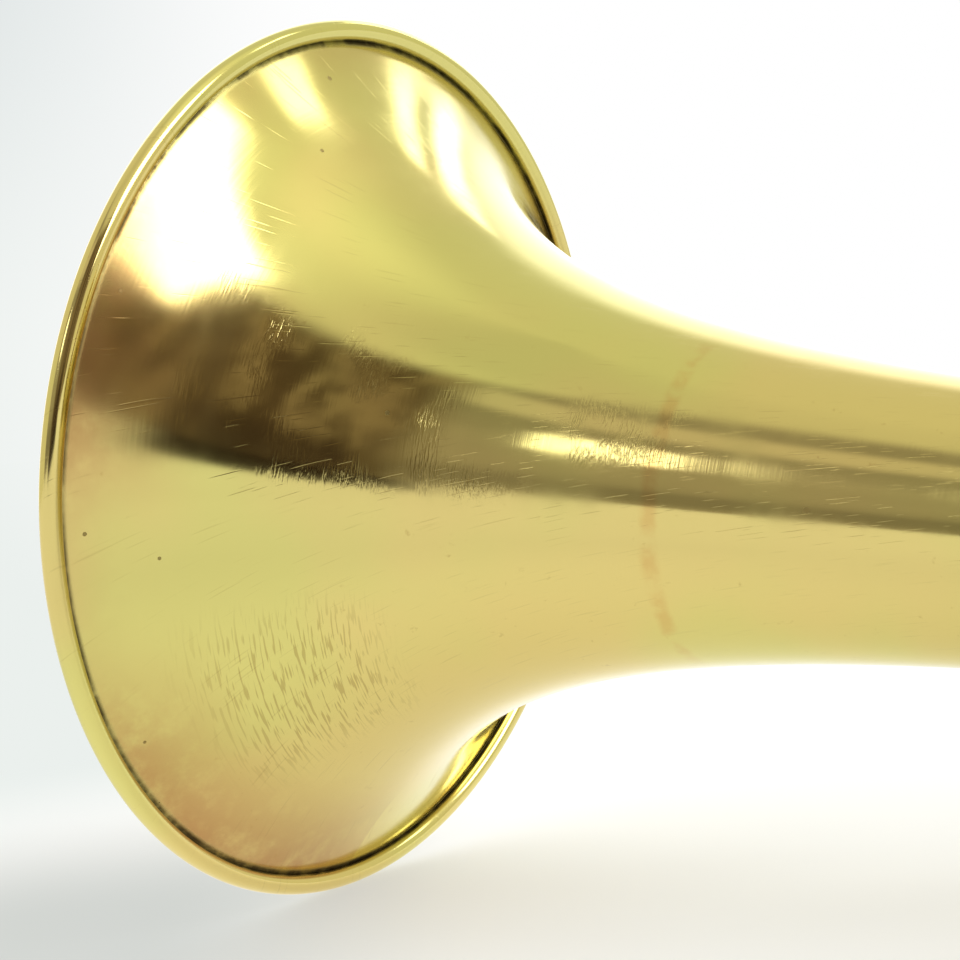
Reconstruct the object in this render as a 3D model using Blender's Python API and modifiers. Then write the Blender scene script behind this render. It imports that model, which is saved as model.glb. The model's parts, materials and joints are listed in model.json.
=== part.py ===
"""A B flat trumpet with three piston valves, laid on its bell side as it rests on a table.

The instrument is drawn upright in a design frame, in metres: +X runs forward to the bell, +Y to the
player's left, +Z up to the finger buttons, and the second valve stands on x = y = 0. Every piece is
a child of one empty, which then lays the instrument down on the rim, the bell bow and a bottom cap,
with the bell pointing along -X, the lowest point at z = 0 and the box centred on x = y = 0.
"""

import math

import bmesh
import bpy
from mathutils import Matrix, Vector

MM = 0.001

# Clearances
GAP = 0.3 * MM  # between pieces that touch, slide in each other or are soldered together
CAP_CLEARANCE = 3.0 * MM  # between neighbouring valve caps
LEADPIPE_CLEARANCE = 1.3 * MM  # between the casings and the upper tuning sleeve
FIRST_CLEARANCE = 3.3 * MM  # between the first slide's lower sleeve and the tube below it
PRESSED_CLEARANCE = 4.0 * MM  # from a pressed piston to its casing's bottom

# Tubing
BORE_RADIUS = 5.8 * MM
TUBE_WALL = 0.5 * MM
LEADPIPE_TAIL_RADIUS = 5.0 * MM  # outside, where the leadpipe starts in the receiver
LEADPIPE_WALL = 0.6 * MM
STRAIGHT_ROOT = 0.7  # where a straight tube starts in a casing, as a share of the casing's radius
OFFSET_ROOT = 0.75  # the same, for a tube that leaves the casing off its middle
OFFSET_LEAN = 0.75  # how far such a tube leans toward its own line

# Bell: its outside follows one law from the rim back to the tail
BELL_RIM_RADIUS = 61.5 * MM
RIM_WIRE_RADIUS = 1.4 * MM
BELL_LENGTH = 340.0 * MM
BELL_TAIL_STEP = 0.4 * MM  # how much thicker the bell's tail is than the bow it meets
BELL_TAPER = 0.030
BELL_NARROWING = 5.8 * MM  # of the bell's cone from the rim to the valves, less a clearance
FLARE_LENGTH = 152.0 * MM
FLARE_POWER = 6.0
BELL_WALL = 0.6 * MM
BELL_FRONT_X = 246.0 * MM
BOW_FERRULE_LENGTH = 12.0 * MM
BOW_FERRULE_WALL = 0.8 * MM

# Heights of the long tubes
UPPER_Z = 32.0 * MM
LOWER_Z = -30.0 * MM

# Valves
CASING_TOP_Z = 52.0 * MM
CASING_WALL = 1.4 * MM
PISTON_RADIUS = 8.4 * MM
PISTON_STROKE = 16.5 * MM
PISTON_FOOT = 3.7 * MM  # below its lowest air passage
BARREL_FLOOR_Z = 14.5 * MM
BARREL_TOP_Z = 47.0 * MM
BARREL_WALL = 1.1 * MM
GUIDE_Z = 17.0 * MM
GUIDE_HEIGHT = 2.4 * MM
GUIDE_WIDTH = 4.0 * MM
SLOT_PLAY = 0.5 * MM
SPRING_RADIUS = 5.2 * MM
SPRING_WIRE_RADIUS = 0.45 * MM
SPRING_TURNS = 5
BARREL_HEAD_DEPTH = 3.0 * MM
BARREL_FLANGE_HEIGHT = 1.3 * MM
STEM_RADIUS = 2.2 * MM
STEM_HOLE_RADIUS = 3.3 * MM
CAP_WALL = 0.9 * MM
CAP_SKIRT = 6.0 * MM
TOP_CAP_RISE = 3.2 * MM
BOTTOM_CAP_RISE = 5.5 * MM
BOTTOM_CAP_FLOOR = 1.4 * MM
TOP_CAP_LAND = 2.5 * MM  # flat ring round the stem's hole
TOP_CAP_EDGE = ((2.0 * MM, 1.0 * MM), (0.0, 2.2 * MM))  # (in from the side, down from the top)
BOTTOM_CAP_EDGE = ((2.2 * MM, 0.0), (0.6 * MM, 1.4 * MM), (0.0, 3.0 * MM))
VENT_RADIUS = 2.0 * MM
BUTTON_RADIUS = 7.6 * MM
BUTTON_HEIGHT = 6.0 * MM
BUTTON_BORE_DEPTH = 3.2 * MM
BUTTON_ROUND = 0.8 * MM
INLAY_RADIUS = 6.0 * MM
INLAY_DEPTH = 1.3 * MM
INLAY_CROWN = 0.2 * MM
FELT_HEIGHT = 2.0 * MM
FELT_RADIUS = 6.2 * MM

# Mouthpiece and receiver
MOUTHPIECE_LENGTH = 87.0 * MM
MOUTHPIECE_SEAT_DEPTH = 24.0 * MM
SHANK_TIP_RADIUS = 4.8 * MM
SHANK_TAPER = 0.025
MOUTHPIECE_RIM_RADIUS = 13.5 * MM
CUP_RADIUS = 8.3 * MM
CUP_DEPTH = 11.5 * MM
THROAT_RADIUS = 1.9 * MM
THROAT_START = 2.0 * MM  # below the cup's bottom
THROAT_END = 12.0 * MM
SHANK_TIP_WALL = 0.7 * MM
CUP_OUTSIDE = (  # (in from the rim's radius, below the rim), in millimetres
    (0.0, 2.0),
    (0.0, 5.0),
    (2.2, 8.5),
    (2.6, 13.0),
    (5.0, 19.0),
)
SHANK_OUTSIDE = (  # (out from the seat's radius, below the rim), in millimetres
    (1.6, 23.0),
    (0.6, 31.0),
    (0.9, 36.0),
    (0.2, 41.0),
)
CUP_BOWL = (  # (in from the cup's radius, above the cup's bottom), in millimetres
    (5.0, 0.8),
    (2.2, 3.8),
)
CUP_LIP = (  # (in from the cup's radius, below the rim), in millimetres
    (0.5, 3.5),
    (0.0, 1.2),
)
RECEIVER_END_X = -236.0 * MM
RECEIVER_LENGTH = 38.0 * MM
RECEIVER_WALL = 1.3 * MM
RECEIVER_BEAD = 0.8 * MM  # how far the bead at its mouth stands proud
RECEIVER_BEAD_LENGTH = 4.0 * MM
RECEIVER_FOOT = 3.0 * MM
SEAT_RUNOUT = 2.0 * MM  # of the tapered seat, past the mouthpiece's tip
LEADPIPE_SETBACK = 3.0 * MM  # from the mouthpiece's tip to the leadpipe
LEADPIPE_PLAY = 0.5 * MM

# Main tuning slide
TUNING_REACH = 60.3 * MM  # from the third casing to the bend
TUNING_LEG = 50.0 * MM
TUNING_SLEEVE_MOUTH = 12.5 * MM  # between the sleeves' ends and the bend
UPPER_SLEEVE_START_X = 22.0 * MM
LEADPIPE_SEAT = 10.0 * MM  # how far the leadpipe goes into its sleeve
BRACE_RADIUS = 1.6 * MM
BRACE_FLANGE_RADIUS = 3.6 * MM
BRACE_FLANGE_HEIGHT = 1.0 * MM

# First slide, behind the first valve
FIRST_Y = -4.0 * MM
FIRST_UPPER_Z = 20.0 * MM
FIRST_REACH = 46.8 * MM  # from the first casing to the bend
FIRST_LEG = 40.0 * MM
FIRST_BRIDGE_SETBACK = 14.0 * MM  # from the sleeves' ends
SADDLE_RADIUS = 8.0 * MM
SADDLE_WALL = 1.2 * MM
SADDLE_WIDTH = 9.0 * MM
SADDLE_Y = -1.0 * MM
SADDLE_LIP = 7.0 * MM

# Second slide, to the right of the second valve
SECOND_HALF_SPACING = 12.0 * MM
SECOND_REACH = 27.9 * MM  # from the second casing to the bend
SECOND_LEG = 23.0 * MM
SECOND_BRIDGE_SETBACK = 8.0 * MM  # from the sleeves' ends
KNOB_RADIUS = 4.6 * MM
KNOB_HEIGHT = 7.5 * MM
KNOB_NECK = 0.45  # share of the knob's radius
KNOB_FOOT = 1.2 * MM
KNOB_OUTSIDE = (  # (share of the knob's radius, distance below its top)
    (0.7, 0.4 * MM),
    (1.0, 2.0 * MM),
    (0.8, 3.6 * MM),
    (KNOB_NECK, 4.8 * MM),
)

# Third slide, in front of the third valve
THIRD_Y = 10.8 * MM
THIRD_NESTING = 0.7 * MM  # how far its lower sleeve sinks beside the lower tuning sleeve
THIRD_REACH = 48.3 * MM  # from the third casing to the bend
THIRD_LEG = 43.0 * MM
THIRD_TRAVEL = 25.5 * MM
FINGER_RING_RADIUS = 10.8 * MM
FINGER_RING_WIRE = 1.3 * MM
FINGER_RING_FLATTENING = 1.6  # width of its wire, as a multiple of the depth
FINGER_RING_Y = 2.6 * MM
STOP_ROD_RADIUS = 1.2 * MM
STOP_NUT_RADIUS = 2.4 * MM
STOP_NUT_LENGTH = 3.0 * MM
STOP_BRIDGE_SETBACK = 20.0 * MM  # from the bend

# Bridges between the two sleeves of a slide
BRIDGE_THICKNESS = 2.0 * MM
BRIDGE_WIDTH = 3.0 * MM
BRIDGE_BITE = 0.35 * MM  # how far a bridge reaches into the sleeve walls
SLEEVE_MOUTH = 3.0 * MM  # between a sleeve's end and the start of the slide's bend
SLEEVE_TURN = 9.0 * MM  # over which an offset sleeve turns from the casing to its own line

# Water key on the tuning slide
KEY_PIVOT_SETBACK = 8.5 * MM  # behind the tuning slide's bend
KEY_PIVOT_STANDOFF = 4.9 * MM  # from the lower tube's side
KEY_NIPPLE_LEAD = 1.5 * MM  # ahead of the start of the bend
NIPPLE_RADIUS = 2.5 * MM
NIPPLE_BORE_RADIUS = 1.3 * MM
NIPPLE_HEIGHT = 1.8 * MM
KEY_PLATE_HEIGHT = 1.2 * MM
KEY_PLATE_WIDTH = 8.4 * MM
KEY_POST_WIDTH = 4.2 * MM
KEY_POST_WALL = 1.2 * MM
KEY_PIN_RADIUS = 0.8 * MM
KEY_BOSS_RADIUS = 2.0 * MM
CORK_RADIUS = 2.6 * MM
CORK_HEIGHT = 1.5 * MM
LEVER_THICKNESS = 1.2 * MM
LEVER_TAIL = 26.0 * MM
LEVER_TAIL_DROP = 6.5 * MM
LEVER_PAD = 7.0 * MM

# Braces and finger hook on the leadpipe
FRONT_BRACE_X = 66.0 * MM
REAR_BRACE_X = -62.0 * MM
HOOK_X = 52.0 * MM
HOOK_RADIUS = 9.0 * MM
HOOK_WIRE_RADIUS = 1.6 * MM
HOOK_SWEEP = math.radians(215)

# Facets
BELL_RINGS = 15
RING_CROWDING = 1.8  # power that crowds the bell's rings toward its rim
BELL_STEPS = 40
TUBE_SIDES = 12
WIRE_SIDES = 8
TURNED_STEPS = 16
SMALL_STEPS = 12
BEND_STEPS = 8
OFFSET_STEPS = 4
SADDLE_STEPS = 10
HOOK_STEPS = 12
LEADPIPE_STEPS = 6
SPRING_STEPS = 8  # in one turn

X = Vector((1, 0, 0))
Y = Vector((0, 1, 0))
Z = Vector((0, 0, 1))

# Sizes and places that follow from those above
LEG_RADIUS = BORE_RADIUS + TUBE_WALL
SLEEVE_RADIUS = LEG_RADIUS + GAP + TUBE_WALL
CASING_BORE_RADIUS = PISTON_RADIUS + GAP
CASING_RADIUS = CASING_BORE_RADIUS + CASING_WALL
CAP_RADIUS = CASING_RADIUS + GAP + CAP_WALL
CAP_TOP_Z = CASING_TOP_Z + TOP_CAP_RISE
PISTON_BOTTOM_Z = LOWER_Z - BORE_RADIUS - PISTON_FOOT
CASING_BOTTOM_Z = PISTON_BOTTOM_Z - PISTON_STROKE - PRESSED_CLEARANCE
VALVE_SPACING = 2 * CAP_RADIUS + CAP_CLEARANCE
VALVES = {"1": -VALVE_SPACING, "2": 0.0, "3": VALVE_SPACING}
CASING_FRONT_X = VALVE_SPACING + CASING_RADIUS

BELL_EDGE_RADIUS = BELL_RIM_RADIUS - 2 * RIM_WIRE_RADIUS - GAP
BELL_STEM_RADIUS = SLEEVE_RADIUS + BELL_TAIL_STEP + BELL_TAPER * BELL_LENGTH
BELL_TAIL_X = BELL_FRONT_X - BELL_LENGTH
BELL_Y = CASING_RADIUS + BELL_STEM_RADIUS - BELL_NARROWING
LEADPIPE_Y = -(CASING_RADIUS + SLEEVE_RADIUS + LEADPIPE_CLEARANCE)

TUNING_BEND_X = CASING_FRONT_X + TUNING_REACH
TUNING_SLEEVE_END_X = TUNING_BEND_X - TUNING_SLEEVE_MOUTH
KEY_PIVOT_X = TUNING_BEND_X - KEY_PIVOT_SETBACK
KEY_PIVOT_DROP = LEG_RADIUS + KEY_PIVOT_STANDOFF
KEY_NIPPLE_X = TUNING_BEND_X + KEY_NIPPLE_LEAD

FIRST_BEND_X = -(CASING_FRONT_X + FIRST_REACH)
FIRST_LOWER_Z = LOWER_Z + 2 * SLEEVE_RADIUS + FIRST_CLEARANCE
SECOND_BEND_Y = -(CASING_RADIUS + SECOND_REACH)
THIRD_BEND_X = CASING_FRONT_X + THIRD_REACH
THIRD_UPPER_Z = UPPER_Z - SLEEVE_RADIUS - BELL_STEM_RADIUS + BELL_NARROWING
THIRD_LOWER_Z = LOWER_Z + 2 * SLEEVE_RADIUS - THIRD_NESTING
STOP_BRIDGE_X = THIRD_BEND_X - STOP_BRIDGE_SETBACK

COLORS = {
    "brass": ((0.60, 0.47, 0.16), 0.30, 1.0),
    "nickel": ((0.62, 0.60, 0.55), 0.25, 1.0),
    "silver": ((0.80, 0.78, 0.74), 0.20, 1.0),
    "steel": ((0.45, 0.45, 0.46), 0.35, 1.0),
    "pearl": ((0.78, 0.76, 0.70), 0.20, 0.0),
    "felt": ((0.60, 0.58, 0.50), 0.95, 0.0),
    "cork": ((0.42, 0.25, 0.12), 0.90, 0.0),
}


class Model:
    """The collections and the empty that every piece hangs from."""

    def __init__(self):
        for obj in list(bpy.data.objects):
            bpy.data.objects.remove(obj)
        self.parts = self.collection("trumpet")
        self.cutters = self.collection("cutters")
        self.root = bpy.data.objects.new("trumpet_root", None)
        self.parts.objects.link(self.root)

    @staticmethod
    def collection(name):
        found = bpy.data.collections.get(name)
        if found is None:
            found = bpy.data.collections.new(name)
        if name not in bpy.context.scene.collection.children:
            bpy.context.scene.collection.children.link(found)
        return found

    def add(self, name, data, origin):
        obj = bpy.data.objects.new(name, data)
        self.parts.objects.link(obj)
        obj.parent = self.root
        obj.location = origin
        return obj

    def hide_as_cutter(self, obj):
        """A cutter shapes other pieces and isn't one itself."""
        if self.parts in obj.users_collection:
            self.parts.objects.unlink(obj)
            self.cutters.objects.link(obj)
        obj.hide_render = True
        obj.display_type = "WIRE"
        return obj

    def pieces(self):
        return [obj for obj in self.parts.objects if obj.type != "EMPTY"]


MODEL = Model()


def paint(obj, kind):
    """Give an object its own material of one of the plain kinds."""
    color, roughness, metallic = COLORS[kind]
    mat = bpy.data.materials.new(f"{obj.name}_{kind}")
    mat.use_nodes = True
    shader = mat.node_tree.nodes["Principled BSDF"]
    shader.inputs["Base Color"].default_value = (*color, 1.0)
    shader.inputs["Roughness"].default_value = roughness
    shader.inputs["Metallic"].default_value = metallic
    obj.data.materials.clear()
    obj.data.materials.append(mat)


def smooth(obj):
    """Shade a round mesh smooth, with its real corners kept sharp."""
    obj.data.shade_smooth()
    obj.data.set_sharp_from_angle(angle=math.radians(40))


def turned(name, profile, axis, origin, kind, ring=True, steps=TURNED_STEPS):
    """A turned piece: (radius, height) points, down the outer side, spun about an axis.

    With ring the profile closes on itself round a hole. Without it both ends lie on the axis.
    """
    mesh = bpy.data.meshes.new(name)
    corners = [(radius, 0.0, height) for radius, height in profile]
    edges = [(i, i + 1) for i in range(len(corners) - 1)]
    if ring:
        edges.append((len(corners) - 1, 0))
    mesh.from_pydata(corners, edges, [])
    obj = MODEL.add(name, mesh, origin)
    obj.rotation_mode = "QUATERNION"
    obj.rotation_quaternion = axis.to_track_quat("Z", "Y")
    screw = obj.modifiers.new("spin", "SCREW")
    screw.axis = "Z"
    screw.angle = math.tau
    screw.steps = steps
    screw.render_steps = steps
    screw.use_merge_vertices = True
    screw.merge_threshold = 0.00001
    paint(obj, kind)
    return obj


def tube(name, points, radius, kind, wall=None, sides=TUBE_SIDES, tail_radius=None):
    """A tube along points, open at both ends with a wall, or a solid rod without one."""
    curve = bpy.data.curves.new(name, "CURVE")
    curve.dimensions = "3D"
    curve.bevel_depth = radius
    curve.bevel_resolution = sides // 2 - 2
    curve.use_fill_caps = wall is None
    spline = curve.splines.new("POLY")
    spline.points.add(len(points) - 1)
    for index, (slot, point) in enumerate(zip(spline.points, points)):
        slot.co = (*(point - points[0]), 1.0)
        if tail_radius is not None:
            along = index / (len(points) - 1)
            slot.radius = tail_radius / radius * (1 - along) + along
    obj = MODEL.add(name, curve, points[0])
    if wall is not None:
        shell = obj.modifiers.new("wall", "SOLIDIFY")
        shell.thickness = wall
        shell.offset = -1.0
    paint(obj, kind)
    return obj


def outline(name, corners, width, origin, kind):
    """A flat outline in the XZ plane, given as (x, z) corners, extruded to a width along Y."""
    curve = bpy.data.curves.new(name, "CURVE")
    curve.dimensions = "2D"
    curve.fill_mode = "BOTH"
    curve.extrude = width / 2
    spline = curve.splines.new("POLY")
    spline.points.add(len(corners) - 1)
    for slot, (x, z) in zip(spline.points, corners):
        slot.co = (x, z, 0.0, 1.0)
    spline.use_cyclic_u = True
    obj = MODEL.add(name, curve, origin)
    obj.rotation_euler = (math.radians(90), 0.0, 0.0)
    paint(obj, kind)
    return obj


def box(name, size, origin, kind):
    """A box of a size along X, Y and Z, centred on its origin."""
    mesh = bpy.data.meshes.new(name)
    shape = bmesh.new()
    bmesh.ops.create_cube(shape, size=1.0)
    bmesh.ops.scale(shape, vec=size, verts=shape.verts)
    shape.to_mesh(mesh)
    shape.free()
    obj = MODEL.add(name, mesh, origin)
    paint(obj, kind)
    return obj


def cylinder(name, radius, start, end, sides=TUBE_SIDES):
    """A solid cylinder between two points, for cuts and unions."""
    mesh = bpy.data.meshes.new(name)
    shape = bmesh.new()
    length = (end - start).length
    bmesh.ops.create_cone(
        shape, cap_ends=True, segments=sides, radius1=radius, radius2=radius, depth=length
    )
    shape.to_mesh(mesh)
    shape.free()
    obj = MODEL.add(name, mesh, (start + end) / 2)
    obj.rotation_mode = "QUATERNION"
    obj.rotation_quaternion = (end - start).to_track_quat("Z", "Y")
    paint(obj, "brass")
    return obj


def as_mesh(obj):
    """Replace a curve, or an object with modifiers, by the closed mesh that it evaluates to."""
    bpy.context.view_layer.update()
    depsgraph = bpy.context.evaluated_depsgraph_get()
    mesh = bpy.data.meshes.new_from_object(obj.evaluated_get(depsgraph))
    shape = bmesh.new()
    shape.from_mesh(mesh)
    bmesh.ops.remove_doubles(shape, verts=shape.verts, dist=0.000001)
    shape.to_mesh(mesh)
    shape.free()
    name = obj.name
    place = obj.matrix_world.copy()
    bpy.data.objects.remove(obj)
    solid = MODEL.add(name, mesh, (0, 0, 0))
    solid.matrix_world = place
    smooth(solid)
    return solid


def combine(obj, other, operation):
    """Cut another object from a mesh object, or join it on, and keep the other as a cutter."""
    step = obj.modifiers.new(f"{operation.lower()}_{other.name}", "BOOLEAN")
    step.operation = operation
    step.object = MODEL.hide_as_cutter(other)
    step.solver = "EXACT"
    return obj


def bend(upper, lower, outward, leg):
    """A hairpin centre line: a straight leg, half a circle bulging outward, and a leg back."""
    middle = (upper + lower) / 2
    spoke = upper - middle
    points = [upper - outward * leg]
    for step in range(BEND_STEPS + 1):
        angle = math.pi * step / BEND_STEPS
        points.append(
            middle + spoke * math.cos(angle) + outward * spoke.length * math.sin(angle)
        )
    points.append(lower - outward * leg)
    return points


def leaving_way(outward, y):
    """The way in which a tube leaves a casing when its own line lies at y."""
    lean = math.asin(max(-1.0, min(1.0, y / CASING_RADIUS))) * OFFSET_LEAN
    return Vector((outward.x * math.cos(lean), math.sin(lean), 0))


def offset_leg(valve_x, outward, y, z, end_x):
    """A sleeve's centre line: out of a casing's side, then over to its own line along X."""
    way = leaving_way(outward, y)
    start = Vector((valve_x, 0, z)) + OFFSET_ROOT * CASING_RADIUS * way
    joint = Vector((valve_x + outward.x * (CASING_RADIUS + SLEEVE_TURN), y, z))
    pull = (joint - start).length / 3
    first = start + pull * way
    second = joint - pull * outward
    points = []
    for step in range(OFFSET_STEPS + 1):
        t = step / OFFSET_STEPS
        points.append(
            (1 - t) ** 3 * start
            + 3 * (1 - t) ** 2 * t * first
            + 3 * (1 - t) * t**2 * second
            + t**3 * joint
        )
    points.append(Vector((end_x, y, z)))
    return points


def bell_radius(behind_rim):
    """The bell's outside radius at a distance behind its rim."""
    stem = BELL_STEM_RADIUS - BELL_TAPER * behind_rim
    edge = BELL_EDGE_RADIUS - BELL_STEM_RADIUS
    return stem + edge * (FLARE_LENGTH / (behind_rim + FLARE_LENGTH)) ** FLARE_POWER


def cut_by_casing(obj, label):
    """Fit a soldered tube's end to the round of a valve casing."""
    solid = as_mesh(obj) if obj.type == "CURVE" else obj
    cutter = cylinder(
        f"{solid.name}_round_of_casing_{label}",
        CASING_RADIUS + GAP,
        Vector((VALVES[label], 0, CASING_BOTTOM_Z)),
        Vector((VALVES[label], 0, CASING_TOP_Z)),
        sides=TURNED_STEPS,
    )
    return combine(solid, cutter, "DIFFERENCE")


def make_bell():
    rings = []
    for ring in range(BELL_RINGS + 1):
        behind = BELL_LENGTH * (ring / BELL_RINGS) ** RING_CROWDING
        rings.append((bell_radius(behind), -behind))
    flare = turned(
        "bell_flare", rings, X, (BELL_FRONT_X, BELL_Y, UPPER_Z), "brass", False, BELL_STEPS
    )
    shell = flare.modifiers.new("wall", "SOLIDIFY")
    shell.thickness = BELL_WALL
    shell.offset = -1.0

    wire_centre = BELL_RIM_RADIUS - RIM_WIRE_RADIUS
    section = []
    for corner in range(WIRE_SIDES):
        angle = math.pi / 2 - math.tau * corner / WIRE_SIDES
        section.append(
            (
                wire_centre + RIM_WIRE_RADIUS * math.cos(angle),
                RIM_WIRE_RADIUS * math.sin(angle),
            )
        )
    turned(
        "bell_rim_wire",
        section,
        X,
        (BELL_FRONT_X, BELL_Y, UPPER_Z),
        "brass",
        steps=BELL_STEPS,
    )


def make_bell_bow():
    half = BOW_FERRULE_LENGTH / 2
    upper = Vector((BELL_TAIL_X - GAP - half, BELL_Y, UPPER_Z))
    lower = Vector((BELL_TAIL_X - GAP - half, 0, LOWER_Z))
    path = bend(upper, lower, -X, half)[:-1]
    path.append(Vector((VALVES["1"] - STRAIGHT_ROOT * CASING_RADIUS, 0, LOWER_Z)))
    bow = tube("bell_bow", path, SLEEVE_RADIUS, "brass", wall=TUBE_WALL)
    cut_by_casing(bow, "1")

    inner = bell_radius(BELL_LENGTH - BOW_FERRULE_LENGTH / 2) + GAP
    outer = inner + BOW_FERRULE_WALL
    edge = BOW_FERRULE_WALL / 2
    turned(
        "bell_bow_ferrule",
        [
            (inner, half),
            (outer - edge, half),
            (outer, half - edge),
            (outer, edge - half),
            (outer - edge, -half),
            (inner, -half),
        ],
        X,
        (BELL_TAIL_X, BELL_Y, UPPER_Z),
        "nickel",
    )


def port(casing, label, z, direction, radius, name):
    """An air hole through one side of a casing."""
    axis = Vector((VALVES[label], 0, z))
    cutter = cylinder(name, radius, axis, axis + direction * 2 * CASING_RADIUS)
    combine(casing, cutter, "DIFFERENCE")


def make_casings():
    slide_ports = {
        "1": (leaving_way(-X, FIRST_Y), FIRST_UPPER_Z, FIRST_LOWER_Z),
        "2": (-Y, SECOND_HALF_SPACING, -SECOND_HALF_SPACING),
        "3": (leaving_way(X, THIRD_Y), THIRD_UPPER_Z, THIRD_LOWER_Z),
    }
    for label, x in VALVES.items():
        casing = as_mesh(
            turned(
                f"valve_casing_{label}",
                [
                    (CASING_BORE_RADIUS, CASING_TOP_Z),
                    (CASING_RADIUS, CASING_TOP_Z),
                    (CASING_RADIUS, CASING_BOTTOM_Z),
                    (CASING_BORE_RADIUS, CASING_BOTTOM_Z),
                ],
                Z,
                (x, 0, 0),
                "brass",
            )
        )
        port(casing, label, LOWER_Z, X, BORE_RADIUS, f"front_port_{label}")
        port(casing, label, LOWER_Z, -X, BORE_RADIUS, f"rear_port_{label}")
        direction, upper_z, lower_z = slide_ports[label]
        port(casing, label, upper_z, direction, BORE_RADIUS, f"upper_slide_port_{label}")
        port(casing, label, lower_z, direction, BORE_RADIUS, f"lower_slide_port_{label}")


def make_knuckles():
    """The short tubes that carry the air from casing to casing."""
    for rear, front in (("1", "2"), ("2", "3")):
        inset = STRAIGHT_ROOT * CASING_RADIUS
        path = [
            Vector((VALVES[rear] + inset, 0, LOWER_Z)),
            Vector((VALVES[front] - inset, 0, LOWER_Z)),
        ]
        knuckle = tube(f"knuckle_{rear}_{front}", path, SLEEVE_RADIUS, "brass", wall=TUBE_WALL)
        knuckle = cut_by_casing(knuckle, rear)
        cut_by_casing(knuckle, front)


def make_caps(label, x):
    inner = CASING_RADIUS + GAP
    turned(
        f"top_cap_{label}",
        [
            (STEM_HOLE_RADIUS, TOP_CAP_RISE),
            (STEM_HOLE_RADIUS + TOP_CAP_LAND, TOP_CAP_RISE),
            *((CAP_RADIUS - inset, TOP_CAP_RISE - drop) for inset, drop in TOP_CAP_EDGE),
            (CAP_RADIUS, -CAP_SKIRT),
            (inner, -CAP_SKIRT),
            (inner, GAP),
            (STEM_HOLE_RADIUS, GAP),
        ],
        Z,
        (x, 0, CASING_TOP_Z),
        "brass",
    )
    turned(
        f"bottom_cap_{label}",
        [
            (VENT_RADIUS, BOTTOM_CAP_RISE),
            *((CAP_RADIUS - inset, BOTTOM_CAP_RISE - drop) for inset, drop in BOTTOM_CAP_EDGE),
            (CAP_RADIUS, -CAP_SKIRT),
            (inner, -CAP_SKIRT),
            (inner, GAP),
            (CASING_BORE_RADIUS, GAP),
            (CASING_BORE_RADIUS, BOTTOM_CAP_RISE - BOTTOM_CAP_FLOOR),
            (VENT_RADIUS, BOTTOM_CAP_RISE - BOTTOM_CAP_FLOOR),
        ],
        -Z,
        (x, 0, CASING_BOTTOM_Z),
        "brass",
    )


def make_piston(label, x):
    """The piston with its spring barrel, and three air passages across it."""
    barrel_bore = PISTON_RADIUS - BARREL_WALL
    piston = as_mesh(
        turned(
            f"piston_{label}",
            [
                (0, BARREL_FLOOR_Z),
                (barrel_bore, BARREL_FLOOR_Z),
                (barrel_bore, BARREL_TOP_Z),
                (PISTON_RADIUS, BARREL_TOP_Z),
                (PISTON_RADIUS, PISTON_BOTTOM_Z),
                (0, PISTON_BOTTOM_Z),
            ],
            Z,
            (x, 0, 0),
            "nickel",
            ring=False,
        )
    )
    reach = 2 * PISTON_RADIUS
    passages = {
        "open": (LOWER_Z, X),
        "slide": (LOWER_Z + PISTON_STROKE, Y if label == "2" else X),
    }
    for use, (z, direction) in passages.items():
        middle = Vector((x, 0, z))
        cutter = cylinder(
            f"{use}_passage_{label}",
            BORE_RADIUS,
            middle - direction * reach,
            middle + direction * reach,
        )
        combine(piston, cutter, "DIFFERENCE")
    slot_bottom = GUIDE_Z - SLOT_PLAY
    slot_top = GUIDE_Z + GUIDE_HEIGHT + PISTON_STROKE + SLOT_PLAY
    slot = box(
        f"guide_slot_{label}",
        (2 * reach, GUIDE_WIDTH + 2 * GAP, slot_top - slot_bottom),
        (x, 0, (slot_top + slot_bottom) / 2),
        "steel",
    )
    combine(piston, slot, "DIFFERENCE")
    box(
        f"valve_guide_{label}",
        (2 * PISTON_RADIUS - GAP, GUIDE_WIDTH, GUIDE_HEIGHT),
        (x, 0, GUIDE_Z + GUIDE_HEIGHT / 2),
        "steel",
    )


def make_spring(label, x):
    bottom = GUIDE_Z + GUIDE_HEIGHT + SPRING_WIRE_RADIUS + GAP
    top = BARREL_TOP_Z - BARREL_HEAD_DEPTH - SPRING_WIRE_RADIUS - GAP
    count = SPRING_TURNS * SPRING_STEPS
    points = []
    for step in range(count + 1):
        angle = math.tau * step / SPRING_STEPS
        height = bottom + (top - bottom) * step / count
        points.append(
            Vector((x + SPRING_RADIUS * math.cos(angle), SPRING_RADIUS * math.sin(angle), height))
        )
    tube(f"piston_spring_{label}", points, SPRING_WIRE_RADIUS, "steel", sides=6)


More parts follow.
